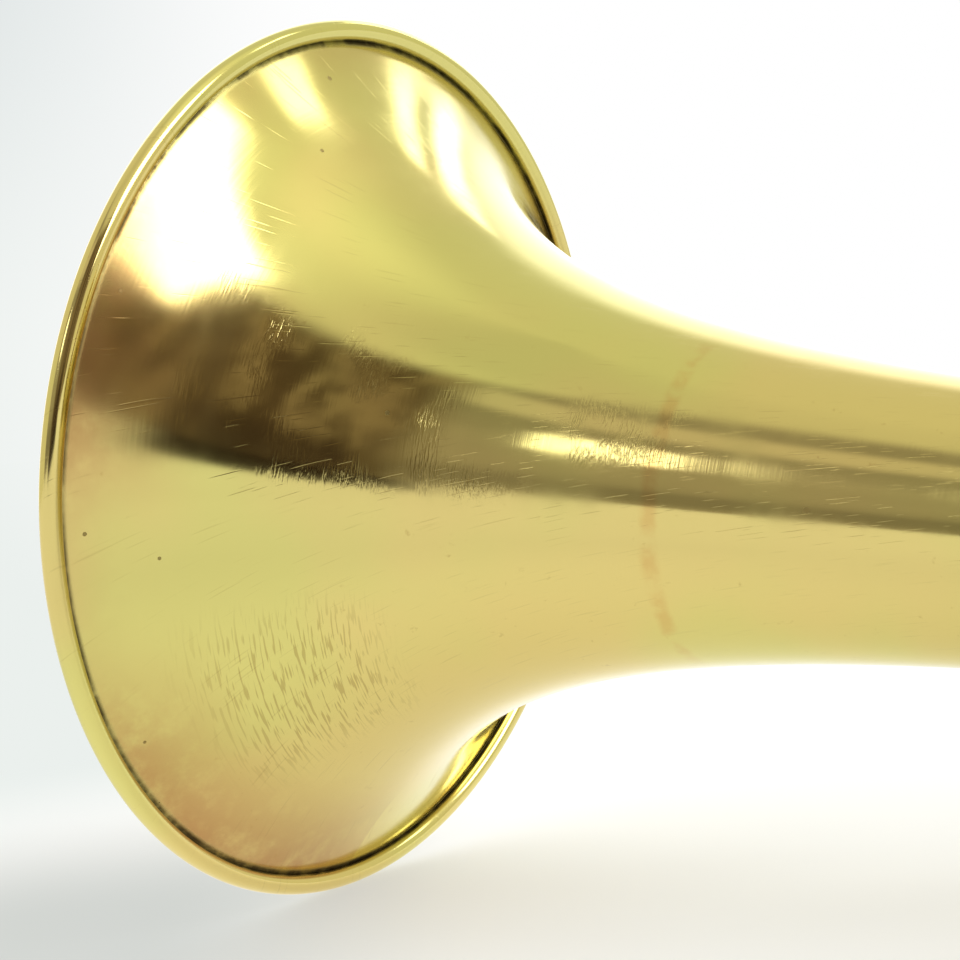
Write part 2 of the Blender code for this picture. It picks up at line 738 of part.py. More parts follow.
def make_stem_and_button(label, x):
    felt_bottom = CAP_TOP_Z + PISTON_STROKE + GAP
    button_bottom = felt_bottom + FELT_HEIGHT + GAP
    button_top = button_bottom + BUTTON_HEIGHT
    stem_top = button_bottom + BUTTON_BORE_DEPTH - GAP
    head_bottom = BARREL_TOP_Z - BARREL_HEAD_DEPTH
    head_radius = PISTON_RADIUS - BARREL_WALL - GAP
    flange_bottom = BARREL_TOP_Z + GAP
    flange_top = flange_bottom + BARREL_FLANGE_HEIGHT
    turned(
        f"valve_stem_{label}",
        [
            (0, stem_top),
            (STEM_RADIUS, stem_top),
            (STEM_RADIUS, flange_top),
            (PISTON_RADIUS, flange_top),
            (PISTON_RADIUS, flange_bottom),
            (head_radius, flange_bottom),
            (head_radius, head_bottom),
            (0, head_bottom),
        ],
        Z,
        (x, 0, 0),
        "nickel",
        ring=False,
    )
    bore = STEM_RADIUS + GAP
    seat_radius = INLAY_RADIUS + GAP
    seat_z = button_top - INLAY_DEPTH
    rim = BUTTON_ROUND
    turned(
        f"finger_button_{label}",
        [
            (0, seat_z),
            (seat_radius, seat_z),
            (seat_radius, button_top),
            (BUTTON_RADIUS - rim, button_top),
            (BUTTON_RADIUS, button_top - rim),
            (BUTTON_RADIUS, button_top - 2 * rim),
            (FELT_RADIUS - rim, button_bottom + rim),
            (FELT_RADIUS - 2 * rim, button_bottom),
            (bore, button_bottom),
            (bore, button_bottom + BUTTON_BORE_DEPTH),
            (0, button_bottom + BUTTON_BORE_DEPTH),
        ],
        Z,
        (x, 0, 0),
        "brass",
        ring=False,
    )
    turned(
        f"button_inlay_{label}",
        [
            (0, button_top),
            (INLAY_RADIUS, button_top - INLAY_CROWN),
            (INLAY_RADIUS, seat_z + GAP),
            (0, seat_z + GAP),
        ],
        Z,
        (x, 0, 0),
        "pearl",
        ring=False,
    )
    turned(
        f"button_felt_{label}",
        [
            (bore, felt_bottom + FELT_HEIGHT),
            (FELT_RADIUS, felt_bottom + FELT_HEIGHT),
            (FELT_RADIUS, felt_bottom),
            (bore, felt_bottom),
        ],
        Z,
        (x, 0, 0),
        "felt",
    )


def make_valves():
    make_casings()
    make_knuckles()
    for label, x in VALVES.items():
        make_caps(label, x)
        make_piston(label, x)
        make_spring(label, x)
        make_stem_and_button(label, x)


def shank_radius(from_tip):
    return SHANK_TIP_RADIUS + SHANK_TAPER * from_tip


def make_mouthpiece():
    """A mouthpiece: rim, cup, throat and backbore, with a taper that seats in the receiver."""
    tip_x = RECEIVER_END_X + MOUTHPIECE_SEAT_DEPTH
    length = MOUTHPIECE_LENGTH
    seat = shank_radius(MOUTHPIECE_SEAT_DEPTH)
    rim_width = MOUTHPIECE_RIM_RADIUS - CUP_RADIUS
    cup_bottom = length - CUP_DEPTH
    profile = [
        (CUP_RADIUS + 0.3 * rim_width, length),
        (CUP_RADIUS + 0.75 * rim_width, length - 0.3 * MM),
        *((MOUTHPIECE_RIM_RADIUS - inset * MM, length - drop * MM) for inset, drop in CUP_OUTSIDE),
        *((seat + proud * MM, length - drop * MM) for proud, drop in SHANK_OUTSIDE),
        (seat, MOUTHPIECE_SEAT_DEPTH),
        (SHANK_TIP_RADIUS, 0),
        (SHANK_TIP_RADIUS - SHANK_TIP_WALL, 0),
        (THROAT_RADIUS, cup_bottom - THROAT_END),
        (THROAT_RADIUS, cup_bottom - THROAT_START),
        *((CUP_RADIUS - inset * MM, cup_bottom + rise * MM) for inset, rise in CUP_BOWL),
        *((CUP_RADIUS - inset * MM, length - drop * MM) for inset, drop in CUP_LIP),
    ]
    turned("mouthpiece", profile, -X, (tip_x, LEADPIPE_Y, UPPER_Z), "silver")


def make_leadpipe():
    start_x = RECEIVER_END_X + MOUTHPIECE_SEAT_DEPTH + LEADPIPE_SETBACK
    end_x = UPPER_SLEEVE_START_X + LEADPIPE_SEAT
    line = []
    for step in range(LEADPIPE_STEPS + 1):
        along = start_x + (end_x - start_x) * step / LEADPIPE_STEPS
        line.append(Vector((along, LEADPIPE_Y, UPPER_Z)))
    tube(
        "leadpipe",
        line,
        LEG_RADIUS,
        "brass",
        wall=LEADPIPE_WALL,
        tail_radius=LEADPIPE_TAIL_RADIUS,
    )
    seat_end = RECEIVER_LENGTH - MOUTHPIECE_SEAT_DEPTH - SEAT_RUNOUT
    mouth = shank_radius(MOUTHPIECE_SEAT_DEPTH) + GAP
    throat = shank_radius(0) + GAP
    pipe = LEADPIPE_TAIL_RADIUS + LEADPIPE_PLAY
    outer = mouth + RECEIVER_WALL
    bead = RECEIVER_BEAD
    bead_end = RECEIVER_LENGTH - RECEIVER_BEAD_LENGTH
    turned(
        "mouthpiece_receiver",
        [
            (mouth, RECEIVER_LENGTH),
            (outer - 0.5 * MM, RECEIVER_LENGTH),
            (outer, RECEIVER_LENGTH - bead),
            (outer, bead_end),
            (outer - bead, bead_end - 1.5 * MM),
            (pipe + RECEIVER_WALL, RECEIVER_FOOT),
            (pipe + 0.5 * RECEIVER_WALL, 0),
            (pipe, 0),
            (pipe, seat_end),
            (throat, seat_end + GAP),
        ],
        -X,
        (RECEIVER_END_X + RECEIVER_LENGTH, LEADPIPE_Y, UPPER_Z),
        "nickel",
    )


def make_brace(name, start, end):
    """A turned brace between two tubes, with a round flange at each end."""
    length = (end - start).length
    flange = BRACE_FLANGE_HEIGHT
    waist = BRACE_RADIUS
    turned(
        name,
        [
            (0, length),
            (BRACE_FLANGE_RADIUS, length),
            (BRACE_FLANGE_RADIUS, length - flange),
            (waist, length - 2 * flange),
            (waist, 2 * flange),
            (BRACE_FLANGE_RADIUS, flange),
            (BRACE_FLANGE_RADIUS, 0),
            (0, 0),
        ],
        (end - start).normalized(),
        start,
        "brass",
        ring=False,
        steps=SMALL_STEPS,
    )


def make_tuning_slide():
    upper = Vector((TUNING_BEND_X, LEADPIPE_Y, UPPER_Z))
    lower = Vector((TUNING_BEND_X, 0, LOWER_Z))
    tube("tuning_slide", bend(upper, lower, X, TUNING_LEG), LEG_RADIUS, "brass", wall=TUBE_WALL)
    tube(
        "upper_tuning_sleeve",
        [
            Vector((UPPER_SLEEVE_START_X, LEADPIPE_Y, UPPER_Z)),
            Vector((TUNING_SLEEVE_END_X, LEADPIPE_Y, UPPER_Z)),
        ],
        SLEEVE_RADIUS,
        "brass",
        wall=TUBE_WALL,
    )
    lower_sleeve = tube(
        "lower_tuning_sleeve",
        [
            Vector((VALVES["3"] + STRAIGHT_ROOT * CASING_RADIUS, 0, LOWER_Z)),
            Vector((TUNING_SLEEVE_END_X, 0, LOWER_Z)),
        ],
        SLEEVE_RADIUS,
        "brass",
        wall=TUBE_WALL,
    )
    cut_by_casing(lower_sleeve, "3")
    brace_x = (TUNING_SLEEVE_END_X + TUNING_BEND_X) / 2
    across = (lower - upper).normalized()
    shift = Vector((brace_x - TUNING_BEND_X, 0, 0))
    inset = across * (LEG_RADIUS + GAP)
    make_brace("tuning_slide_brace", upper + shift + inset, lower + shift - inset)


def make_water_key():
    """The key that lets water out of the tuning slide: saddle, pivot pin, lever and cork."""
    plate_top = LOWER_Z - LEG_RADIUS - GAP
    plate_bottom = plate_top - KEY_PLATE_HEIGHT
    pivot = Vector((KEY_PIVOT_X, 0, LOWER_Z - KEY_PIVOT_DROP))
    plate_start = KEY_PIVOT_X - KEY_POST_WIDTH / 2
    plate_end = KEY_NIPPLE_X + NIPPLE_RADIUS
    saddle = box(
        "water_key_saddle",
        (plate_end - plate_start, KEY_PLATE_WIDTH, KEY_PLATE_HEIGHT),
        ((plate_start + plate_end) / 2, 0, (plate_top + plate_bottom) / 2),
        "brass",
    )
    post_bottom = pivot.z - KEY_BOSS_RADIUS
    for side in (1, -1):
        post = box(
            f"key_post_{'left' if side > 0 else 'right'}",
            (KEY_POST_WIDTH, KEY_POST_WALL, plate_top - post_bottom - KEY_PLATE_HEIGHT / 2),
            (
                KEY_PIVOT_X,
                side * (KEY_PLATE_WIDTH - KEY_POST_WALL) / 2,
                (plate_top - KEY_PLATE_HEIGHT / 2 + post_bottom) / 2,
            ),
            "brass",
        )
        combine(saddle, post, "UNION")
    nipple_top = Vector((KEY_NIPPLE_X, 0, plate_top - KEY_PLATE_HEIGHT / 2))
    nipple_end = Vector((KEY_NIPPLE_X, 0, plate_bottom - NIPPLE_HEIGHT))
    nipple = cylinder("key_nipple", NIPPLE_RADIUS, nipple_top, nipple_end, sides=SMALL_STEPS)
    combine(saddle, nipple, "UNION")
    drain = cylinder(
        "key_drain",
        NIPPLE_BORE_RADIUS,
        nipple_top + Z * NIPPLE_HEIGHT,
        nipple_end - Z * NIPPLE_HEIGHT,
        sides=SMALL_STEPS,
    )
    combine(saddle, drain, "DIFFERENCE")
    half_pin = Vector((0, KEY_PLATE_WIDTH / 2 + KEY_POST_WALL / 2, 0))
    combine(
        saddle,
        cylinder("key_post_bore", KEY_PIN_RADIUS + GAP, pivot - half_pin, pivot + half_pin, SMALL_STEPS),
        "DIFFERENCE",
    )
    tube("water_key_pin", [pivot - half_pin, pivot + half_pin], KEY_PIN_RADIUS, "steel", sides=8)

    cork_top = nipple_end.z - GAP
    turned(
        "water_key_cork",
        [(0, 0), (CORK_RADIUS, 0), (CORK_RADIUS, -CORK_HEIGHT), (0, -CORK_HEIGHT)],
        Z,
        (KEY_NIPPLE_X, 0, cork_top),
        "cork",
        ring=False,
        steps=SMALL_STEPS,
    )
    arm_top = cork_top - CORK_HEIGHT - GAP - pivot.z
    arm_front = KEY_NIPPLE_X + CORK_RADIUS - KEY_PIVOT_X
    boss = KEY_BOSS_RADIUS * 0.9
    thick = LEVER_THICKNESS
    corners = [
        (arm_front, arm_top),
        (boss, arm_top),
        (boss * 0.7, boss * 0.7),
        (-boss * 0.3, boss * 0.9),
        (-boss, boss * 0.2),
        (-LEVER_TAIL + LEVER_PAD, -LEVER_TAIL_DROP + thick),
        (-LEVER_TAIL, -LEVER_TAIL_DROP + thick),
        (-LEVER_TAIL, -LEVER_TAIL_DROP),
        (-LEVER_TAIL + LEVER_PAD, -LEVER_TAIL_DROP),
        (-boss * 0.4, -boss * 0.95),
        (boss * 0.8, arm_top - thick),
        (arm_front, arm_top - thick),
    ]
    lever_width = KEY_PLATE_WIDTH - 2 * KEY_POST_WALL - 4 * GAP
    lever = as_mesh(outline("water_key_lever", corners, lever_width, pivot, "brass"))
    combine(
        lever,
        cylinder("key_lever_bore", KEY_PIN_RADIUS + GAP, pivot - half_pin, pivot + half_pin, SMALL_STEPS),
        "DIFFERENCE",
    )


def make_sleeve_pair(name, paths, labels, bridge_size, bridge_centre, hole=None):
    """Two outer tubes of a valve slide, soldered to a casing and joined by a bridge."""
    upper, lower = (
        cut_by_casing(
            tube(f"{name}_{place}", path, SLEEVE_RADIUS, "brass", wall=TUBE_WALL), labels
        )
        for place, path in zip(("upper", "lower"), paths)
    )
    upper = as_mesh(upper)
    upper.name = name
    lower = as_mesh(lower)
    bridge = box(f"{name}_bridge", bridge_size, bridge_centre, "brass")
    combine(upper, lower, "UNION")
    combine(upper, bridge, "UNION")
    if hole is not None:
        start, end, radius = hole
        combine(upper, cylinder(f"{name}_hole", radius, start, end, SMALL_STEPS), "DIFFERENCE")
    return upper


def bridge_span(upper_z, lower_z):
    """The height of a bridge that bites into both sleeves' walls."""
    return upper_z - lower_z - 2 * (SLEEVE_RADIUS - BRIDGE_BITE)


def make_first_slide():
    ends = []
    for z in (FIRST_UPPER_Z, FIRST_LOWER_Z):
        ends.append(offset_leg(VALVES["1"], -X, FIRST_Y, z, FIRST_BEND_X + SLEEVE_MOUTH))
    centre_z = (FIRST_UPPER_Z + FIRST_LOWER_Z) / 2
    make_sleeve_pair(
        "first_slide_sleeves",
        ends,
        "1",
        (BRIDGE_THICKNESS, BRIDGE_WIDTH, bridge_span(FIRST_UPPER_Z, FIRST_LOWER_Z)),
        (FIRST_BEND_X + SLEEVE_MOUTH + FIRST_BRIDGE_SETBACK, FIRST_Y, centre_z),
    )
    upper = Vector((FIRST_BEND_X, FIRST_Y, FIRST_UPPER_Z))
    lower = Vector((FIRST_BEND_X, FIRST_Y, FIRST_LOWER_Z))
    tube("first_slide", bend(upper, lower, -X, FIRST_LEG), LEG_RADIUS, "brass", wall=TUBE_WALL)
    make_thumb_saddle()


def make_thumb_saddle():
    """A U of flat strip that stands on the first slide for the left thumb."""
    inner = SADDLE_RADIUS
    outer = SADDLE_RADIUS + SADDLE_WALL
    lip = SADDLE_LIP
    corners = [(-outer, lip)]
    for step in range(SADDLE_STEPS + 1):
        angle = math.pi + math.pi * step / SADDLE_STEPS
        corners.append((outer * math.cos(angle), outer * math.sin(angle)))
    corners += [(outer, lip), (inner, lip)]
    for step in range(SADDLE_STEPS + 1):
        angle = math.tau - math.pi * step / SADDLE_STEPS
        corners.append((inner * math.cos(angle), inner * math.sin(angle)))
    corners.append((-inner, lip))
    sideways = abs(SADDLE_Y - FIRST_Y)
    rise = math.sqrt((LEG_RADIUS + GAP + outer) ** 2 - sideways**2)
    place = Vector((FIRST_BEND_X - SADDLE_WIDTH / 2, SADDLE_Y, FIRST_UPPER_Z + rise))
    saddle = outline("thumb_saddle", corners, SADDLE_WIDTH, place, "brass")
    saddle.rotation_euler = (math.radians(90), 0.0, math.radians(90))


def make_second_slide():
    ends = []
    for z in (SECOND_HALF_SPACING, -SECOND_HALF_SPACING):
        ends.append(
            [
                Vector((0, -STRAIGHT_ROOT * CASING_RADIUS, z)),
                Vector((0, SECOND_BEND_Y + SLEEVE_MOUTH, z)),
            ]
        )
    make_sleeve_pair(
        "second_slide_sleeves",
        ends,
        "2",
        (
            BRIDGE_WIDTH,
            BRIDGE_THICKNESS,
            bridge_span(SECOND_HALF_SPACING, -SECOND_HALF_SPACING),
        ),
        (0, SECOND_BEND_Y + SLEEVE_MOUTH + SECOND_BRIDGE_SETBACK, 0),
    )
    upper = Vector((0, SECOND_BEND_Y, SECOND_HALF_SPACING))
    lower = Vector((0, SECOND_BEND_Y, -SECOND_HALF_SPACING))
    tube("second_slide", bend(upper, lower, -Y, SECOND_LEG), LEG_RADIUS, "brass", wall=TUBE_WALL)
    crest = SECOND_BEND_Y - SECOND_HALF_SPACING - LEG_RADIUS - GAP
    turned(
        "second_slide_knob",
        [
            (0, KNOB_HEIGHT),
            *((share * KNOB_RADIUS, KNOB_HEIGHT - drop) for share, drop in KNOB_OUTSIDE),
            (KNOB_NECK * KNOB_RADIUS, KNOB_FOOT),
            (0.7 * KNOB_RADIUS, 0),
            (0, 0),
        ],
        -Y,
        (0, crest, 0),
        "brass",
        ring=False,
        steps=SMALL_STEPS,
    )


def make_third_slide():
    ends = []
    for z in (THIRD_UPPER_Z, THIRD_LOWER_Z):
        ends.append(offset_leg(VALVES["3"], X, THIRD_Y, z, THIRD_BEND_X - SLEEVE_MOUTH))
    centre_z = (THIRD_UPPER_Z + THIRD_LOWER_Z) / 2
    bridge = Vector((STOP_BRIDGE_X, THIRD_Y, centre_z))
    reach = Vector((BRIDGE_THICKNESS, 0, 0))
    make_sleeve_pair(
        "third_slide_sleeves",
        ends,
        "3",
        (
            BRIDGE_THICKNESS,
            BRIDGE_WIDTH + 2 * STOP_ROD_RADIUS,
            bridge_span(THIRD_UPPER_Z, THIRD_LOWER_Z),
        ),
        bridge,
        hole=(bridge - reach, bridge + reach, STOP_ROD_RADIUS + GAP),
    )
    upper = Vector((THIRD_BEND_X, THIRD_Y, THIRD_UPPER_Z))
    lower = Vector((THIRD_BEND_X, THIRD_Y, THIRD_LOWER_Z))
    tube("third_slide", bend(upper, lower, X, THIRD_LEG), LEG_RADIUS, "brass", wall=TUBE_WALL)
    make_finger_ring()
    make_stop_rod(centre_z)


def make_finger_ring():
    """The ring on the third slide, its hole facing sideways for the left ring finger."""
    ring_x = THIRD_BEND_X - SLEEVE_MOUTH + FINGER_RING_RADIUS + FINGER_RING_WIRE + 2 * GAP
    section = []
    for corner in range(WIRE_SIDES):
        angle = math.pi / 2 - math.tau * corner / WIRE_SIDES
        section.append(
            (
                FINGER_RING_RADIUS + FINGER_RING_WIRE * math.cos(angle),
                FINGER_RING_FLATTENING * FINGER_RING_WIRE * math.sin(angle),
            )
        )
    sideways = THIRD_Y - FINGER_RING_Y
    touch = LEG_RADIUS + FINGER_RING_FLATTENING * FINGER_RING_WIRE + GAP
    rise = math.sqrt(max(0.0, touch**2 - sideways**2))
    centre = Vector((ring_x, FINGER_RING_Y, THIRD_UPPER_Z + rise + FINGER_RING_RADIUS))
    turned("finger_ring", section, Y, centre, "brass")


def make_stop_rod(centre_z):
    """The rod with its nut that stops the third slide at the end of its travel."""
    radius = (THIRD_UPPER_Z - THIRD_LOWER_Z) / 2
    front = THIRD_BEND_X + radius - LEG_RADIUS - GAP
    nut_front = STOP_BRIDGE_X - BRIDGE_THICKNESS / 2 - THIRD_TRAVEL - GAP
    back = nut_front - STOP_NUT_LENGTH
    turned(
        "third_slide_stop_rod",
        [
            (0, front),
            (STOP_ROD_RADIUS, front),
            (STOP_ROD_RADIUS, nut_front),
            (STOP_NUT_RADIUS, nut_front),
            (STOP_NUT_RADIUS, back),
            (0, back),
        ],
        X,
        (0, THIRD_Y, centre_z),
        "nickel",
        ring=False,
        steps=SMALL_STEPS,
    )


def make_fixed_braces():
    for name, x in (("front_bell_brace", FRONT_BRACE_X), ("rear_bell_brace", REAR_BRACE_X)):
        pipe = SLEEVE_RADIUS if x > UPPER_SLEEVE_START_X else LEG_RADIUS
        start = Vector((x, LEADPIPE_Y + pipe + GAP, UPPER_Z))
        bell = bell_radius(BELL_FRONT_X - x)
        make_brace(name, start, Vector((x, BELL_Y - bell - GAP, UPPER_Z)))


def make_finger_hook():
    """The hook on the leadpipe's sleeve for the right little finger."""
    rise = SLEEVE_RADIUS + GAP + HOOK_WIRE_RADIUS + HOOK_RADIUS
    centre = Vector((HOOK_X, LEADPIPE_Y, UPPER_Z + rise))
    points = []
    for step in range(HOOK_STEPS + 1):
        angle = -math.pi / 2 - HOOK_SWEEP * step / HOOK_STEPS
        points.append(centre + HOOK_RADIUS * (X * math.cos(angle) + Z * math.sin(angle)))
    tube("finger_hook", points, HOOK_WIRE_RADIUS, "brass", sides=WIRE_SIDES)


def evaluated_triangles():
    """Each piece's triangles, as vertex positions in the design frame."""
    bpy.context.view_layer.update()
    depsgraph = bpy.context.evaluated_depsgraph_get()
    for obj in MODEL.pieces():
        ready = obj.evaluated_get(depsgraph)
        mesh = ready.to_mesh()
        mesh.calc_loop_triangles()
        places = [obj.matrix_world @ vertex.co for vertex in mesh.vertices]
        yield [tuple(places[i] for i in face.vertices) for face in mesh.loop_triangles]
        ready.to_mesh_clear()


def resting_matrix():
    """The turn and shift that lay the instrument on its bell side.

    It rests on the face of its convex hull that looks most to the left and has the centre of mass
    above it.
    """
    hull = bmesh.new()
    volume = 0.0
    moment = Vector()
    for triangles in evaluated_triangles():
        for a, b, c in triangles:
            part = a.dot(b.cross(c)) / 6
            volume += part
            moment += part * (a + b + c) / 4
            for corner in (a, b, c):
                hull.verts.new(corner)
    bmesh.ops.remove_doubles(hull, verts=hull.verts, dist=0.00001)
    bmesh.ops.convex_hull(hull, input=hull.verts)
    hull.normal_update()
    mass_centre = moment / volume
    best = None
    for face in hull.faces:
        if face.normal.y < 0.5:
            continue
        inside = True
        for edge_start, edge_end in zip(face.verts, [*face.verts[1:], face.verts[0]]):
            side = (edge_end.co - edge_start.co).cross(mass_centre - edge_start.co)
            inside = inside and side.dot(face.normal) > 0
        if inside and (best is None or face.normal.y > best.y):
            best = face.normal.copy()
    up = -best
    along = -(X - X.dot(up) * up).normalized()
    turn = Matrix((along, up.cross(along), up)).to_4x4()
    corners = [turn @ vertex.co for vertex in hull.verts]
    hull.free()
    low = Vector([min(corner[i] for corner in corners) for i in range(3)])
    high = Vector([max(corner[i] for corner in corners) for i in range(3)])
    middle = (low + high) / 2
    return Matrix.Translation((-middle.x, -middle.y, -low.z)) @ turn


def main():
    make_bell()
    make_bell_bow()
    make_valves()
    make_mouthpiece()
    make_leadpipe()
    make_tuning_slide()
    make_water_key()
    make_first_slide()
    make_second_slide()
    make_third_slide()
    make_fixed_braces()
    make_finger_hook()
    MODEL.root.matrix_world = resting_matrix()
    bpy.context.view_layer.update()


main()
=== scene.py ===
"""Studio model of a worn raw-brass trumpet lying on its bell side.

Each operator builds one piece, or a group of like pieces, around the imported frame. Shapes are drawn
in the instrument's own frame, in metres: +X runs forward to the bell, +Y to the player's left and +Z
up to the finger buttons, with the second valve on x = y = 0.
"""

import json
import math

import bmesh
import bpy
from bpy.props import FloatProperty, FloatVectorProperty, PointerProperty, StringProperty
from mathutils import Matrix, Vector, noise

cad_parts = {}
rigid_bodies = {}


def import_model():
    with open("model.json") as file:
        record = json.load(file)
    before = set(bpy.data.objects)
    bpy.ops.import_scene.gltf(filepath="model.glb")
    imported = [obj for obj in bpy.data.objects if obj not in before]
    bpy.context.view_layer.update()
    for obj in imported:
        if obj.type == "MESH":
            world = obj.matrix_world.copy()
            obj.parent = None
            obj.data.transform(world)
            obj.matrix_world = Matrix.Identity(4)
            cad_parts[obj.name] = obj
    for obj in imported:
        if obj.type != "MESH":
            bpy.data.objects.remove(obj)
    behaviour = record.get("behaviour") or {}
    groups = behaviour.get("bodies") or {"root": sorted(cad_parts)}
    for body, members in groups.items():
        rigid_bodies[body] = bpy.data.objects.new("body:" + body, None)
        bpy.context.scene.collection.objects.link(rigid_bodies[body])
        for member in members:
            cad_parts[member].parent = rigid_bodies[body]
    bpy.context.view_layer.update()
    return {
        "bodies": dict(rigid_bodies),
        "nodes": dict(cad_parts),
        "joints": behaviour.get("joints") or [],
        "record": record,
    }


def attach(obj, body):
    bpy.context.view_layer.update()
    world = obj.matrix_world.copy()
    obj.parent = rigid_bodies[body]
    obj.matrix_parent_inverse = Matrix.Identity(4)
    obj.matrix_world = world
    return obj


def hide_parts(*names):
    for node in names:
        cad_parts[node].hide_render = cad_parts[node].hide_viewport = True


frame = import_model()

bl_info = {
    "name": "Worn Brass Trumpet", "version": (1, 0, 0), "blender": (4, 5, 0),
    "location": "View3D > Sidebar > Trumpet",
    "description": "Builds a raw brass trumpet with three piston valves, and a pale studio round it",
    "category": "Object",
}

MM = 0.001
X = Vector((1, 0, 0))
Y = Vector((0, 1, 0))
Z = Vector((0, 0, 1))

# Sizes that the frame's solids have
GAP = 0.3 * MM
WALL = 0.5 * MM
BORE = 5.8 * MM
LEG = BORE + WALL
SLEEVE = LEG + GAP + WALL
BELL_Y = 22.0 * MM
PIPE_Y = -18.5 * MM
UPPER_Z = 32.0 * MM
LOWER_Z = -30.0 * MM
BELL_FRONT = 246.0 * MM
CASING = 10.1 * MM
CASING_BORE = 8.7 * MM
CASING_TOP = 52.0 * MM
CASING_BOTTOM = -60.0 * MM
CAP = 11.3 * MM
COLLAR_DROP = 9.5 * MM
STROKE = 16.5 * MM
VALVES = {"1": -25.6 * MM, "2": 0.0, "3": 25.6 * MM}
VALVE_BODIES = {"1": "first_valve", "2": "second_valve", "3": "third_valve"}


def find_joint(name):
    return next(joint for joint in frame["joints"] if joint["name"] == name)


def find_mount(name):
    return next(mount for mount in frame["record"]["mounts"] if mount["name"] == name)


def turn_of(x_axis, y_axis, z_axis):
    return Matrix((x_axis, y_axis, z_axis)).transposed().to_4x4()


def instrument_place():
    """Where the instrument's own frame lies in the row frame."""
    forward = Vector(find_joint("tuning_slide_pull")["axis"]).normalized()
    up = -Vector(find_joint("first_valve_press")["axis"]).normalized()
    turn = turn_of(forward, up.cross(forward), up)
    bell_mouth = turn @ Vector((BELL_FRONT, BELL_Y, UPPER_Z))
    return Matrix.Translation(Vector(find_mount("bell_mouth")["pos_m"]) - bell_mouth) @ turn


def bell_place():
    """The bell's frame: X out of its mouth, Z up from the floor, with the rim's centre at zero."""
    mount = find_mount("bell_mouth")
    out = Vector(mount["axis"]).normalized()
    up = (Z - Z.dot(out) * out).normalized()
    return Matrix.Translation(mount["pos_m"]) @ turn_of(out, up.cross(out), up)


INSTRUMENT = instrument_place()
BELL = bell_place()


# Colour and nodes


def linear(hex_code):
    """An sRGB hex colour in linear light."""
    values = []
    for start in (0, 2, 4):
        part = int(hex_code[start : start + 2], 16) / 255
        values.append(part / 12.92 if part <= 0.04045 else ((part + 0.055) / 1.055) ** 2.4)
    return (*values, 1.0)


def node(tree, kind, links=None, **settings):
    """Add a node, with its settings, and with each input set to a value or linked to a socket."""
    made = tree.nodes.new(kind)
    for key, value in settings.items():
        setattr(made, key, value)
    for key, value in (links or {}).items():
        if isinstance(value, bpy.types.NodeSocket):
            tree.links.new(value, made.inputs[key])
        else:
            made.inputs[key].default_value = value
    return made


def new_surface(name):
    """A material with only its shader and output."""
    material = bpy.data.materials.new(name)
    material.use_nodes = True
    tree = material.node_tree
    tree.nodes.clear()
    shader = node(tree, "ShaderNodeBsdfPrincipled")
    node(tree, "ShaderNodeOutputMaterial", {"Surface": shader.outputs["BSDF"]})
    return material, tree, shader


def place_in(tree, frame):
    """Places in a frame that rides with the piece, from those in the row frame of its mesh."""
    row = node(tree, "ShaderNodeTexCoord").outputs["Object"]
    return node(
        tree, "ShaderNodeMapping",
        {"Vector": row, "Location": frame.translation, "Rotation": frame.to_euler()},
        vector_type="TEXTURE",
    ).outputs[0]


def masked(tree, value, low, high, first=0.0, last=1.0):
    """A smooth step of a value from low to high."""
    step = node(
        tree, "ShaderNodeMapRange",
        {"Value": value, "From Min": low, "From Max": high, "To Min": first, "To Max": last},
        interpolation_type="SMOOTHSTEP",
    )
    return step.outputs["Result"]


def band(tree, value, low, high, soft):
    """One inside low to high, fading over soft at both ends."""
    rise = masked(tree, value, low - soft / 2, low + soft / 2)
    fall = masked(tree, value, high - soft / 2, high + soft / 2, 1.0, 0.0)
    return node(tree, "ShaderNodeMath", {0: rise, 1: fall}, operation="MULTIPLY").outputs[0]


def product(tree, *values):
    result = values[0]
    for value in values[1:]:
        result = node(tree, "ShaderNodeMath", {0: result, 1: value}, operation="MULTIPLY").outputs[0]
    return result


def total(tree, *values):
    result = values[0]
    for value in values[1:]:
        result = node(tree, "ShaderNodeMath", {0: result, 1: value}, operation="ADD").outputs[0]
    return result


def tinted(tree, factor, first, second):
    """A colour between two, each a colour or a socket."""
    mix = node(
        tree, "ShaderNodeMix", {0: factor, 6: first, 7: second}, data_type="RGBA", clamp_factor=True
    )
    return mix.outputs[2]


def grain(tree, coordinates, size_mm, stretch=(1.0, 1.0, 1.0), detail=3.0, roughness=0.55, turn=0.0):
    """Noise whose features are about size_mm across, made longer along an axis by stretch."""
    scale = [1.0 / (size_mm * MM * part) for part in stretch]
    mapping = node(tree, "ShaderNodeMapping", {"Vector": coordinates, "Rotation": (0.0, 0.0, turn)})
    spread = node(
        tree, "ShaderNodeVectorMath", {0: mapping.outputs[0], 1: scale}, operation="MULTIPLY"
    )
    made = node(
        tree, "ShaderNodeTexNoise",
        {"Vector": spread.outputs[0], "Scale": 1.0, "Detail": detail, "Roughness": roughness},
    )
    return made.outputs["Fac"]


# Materials


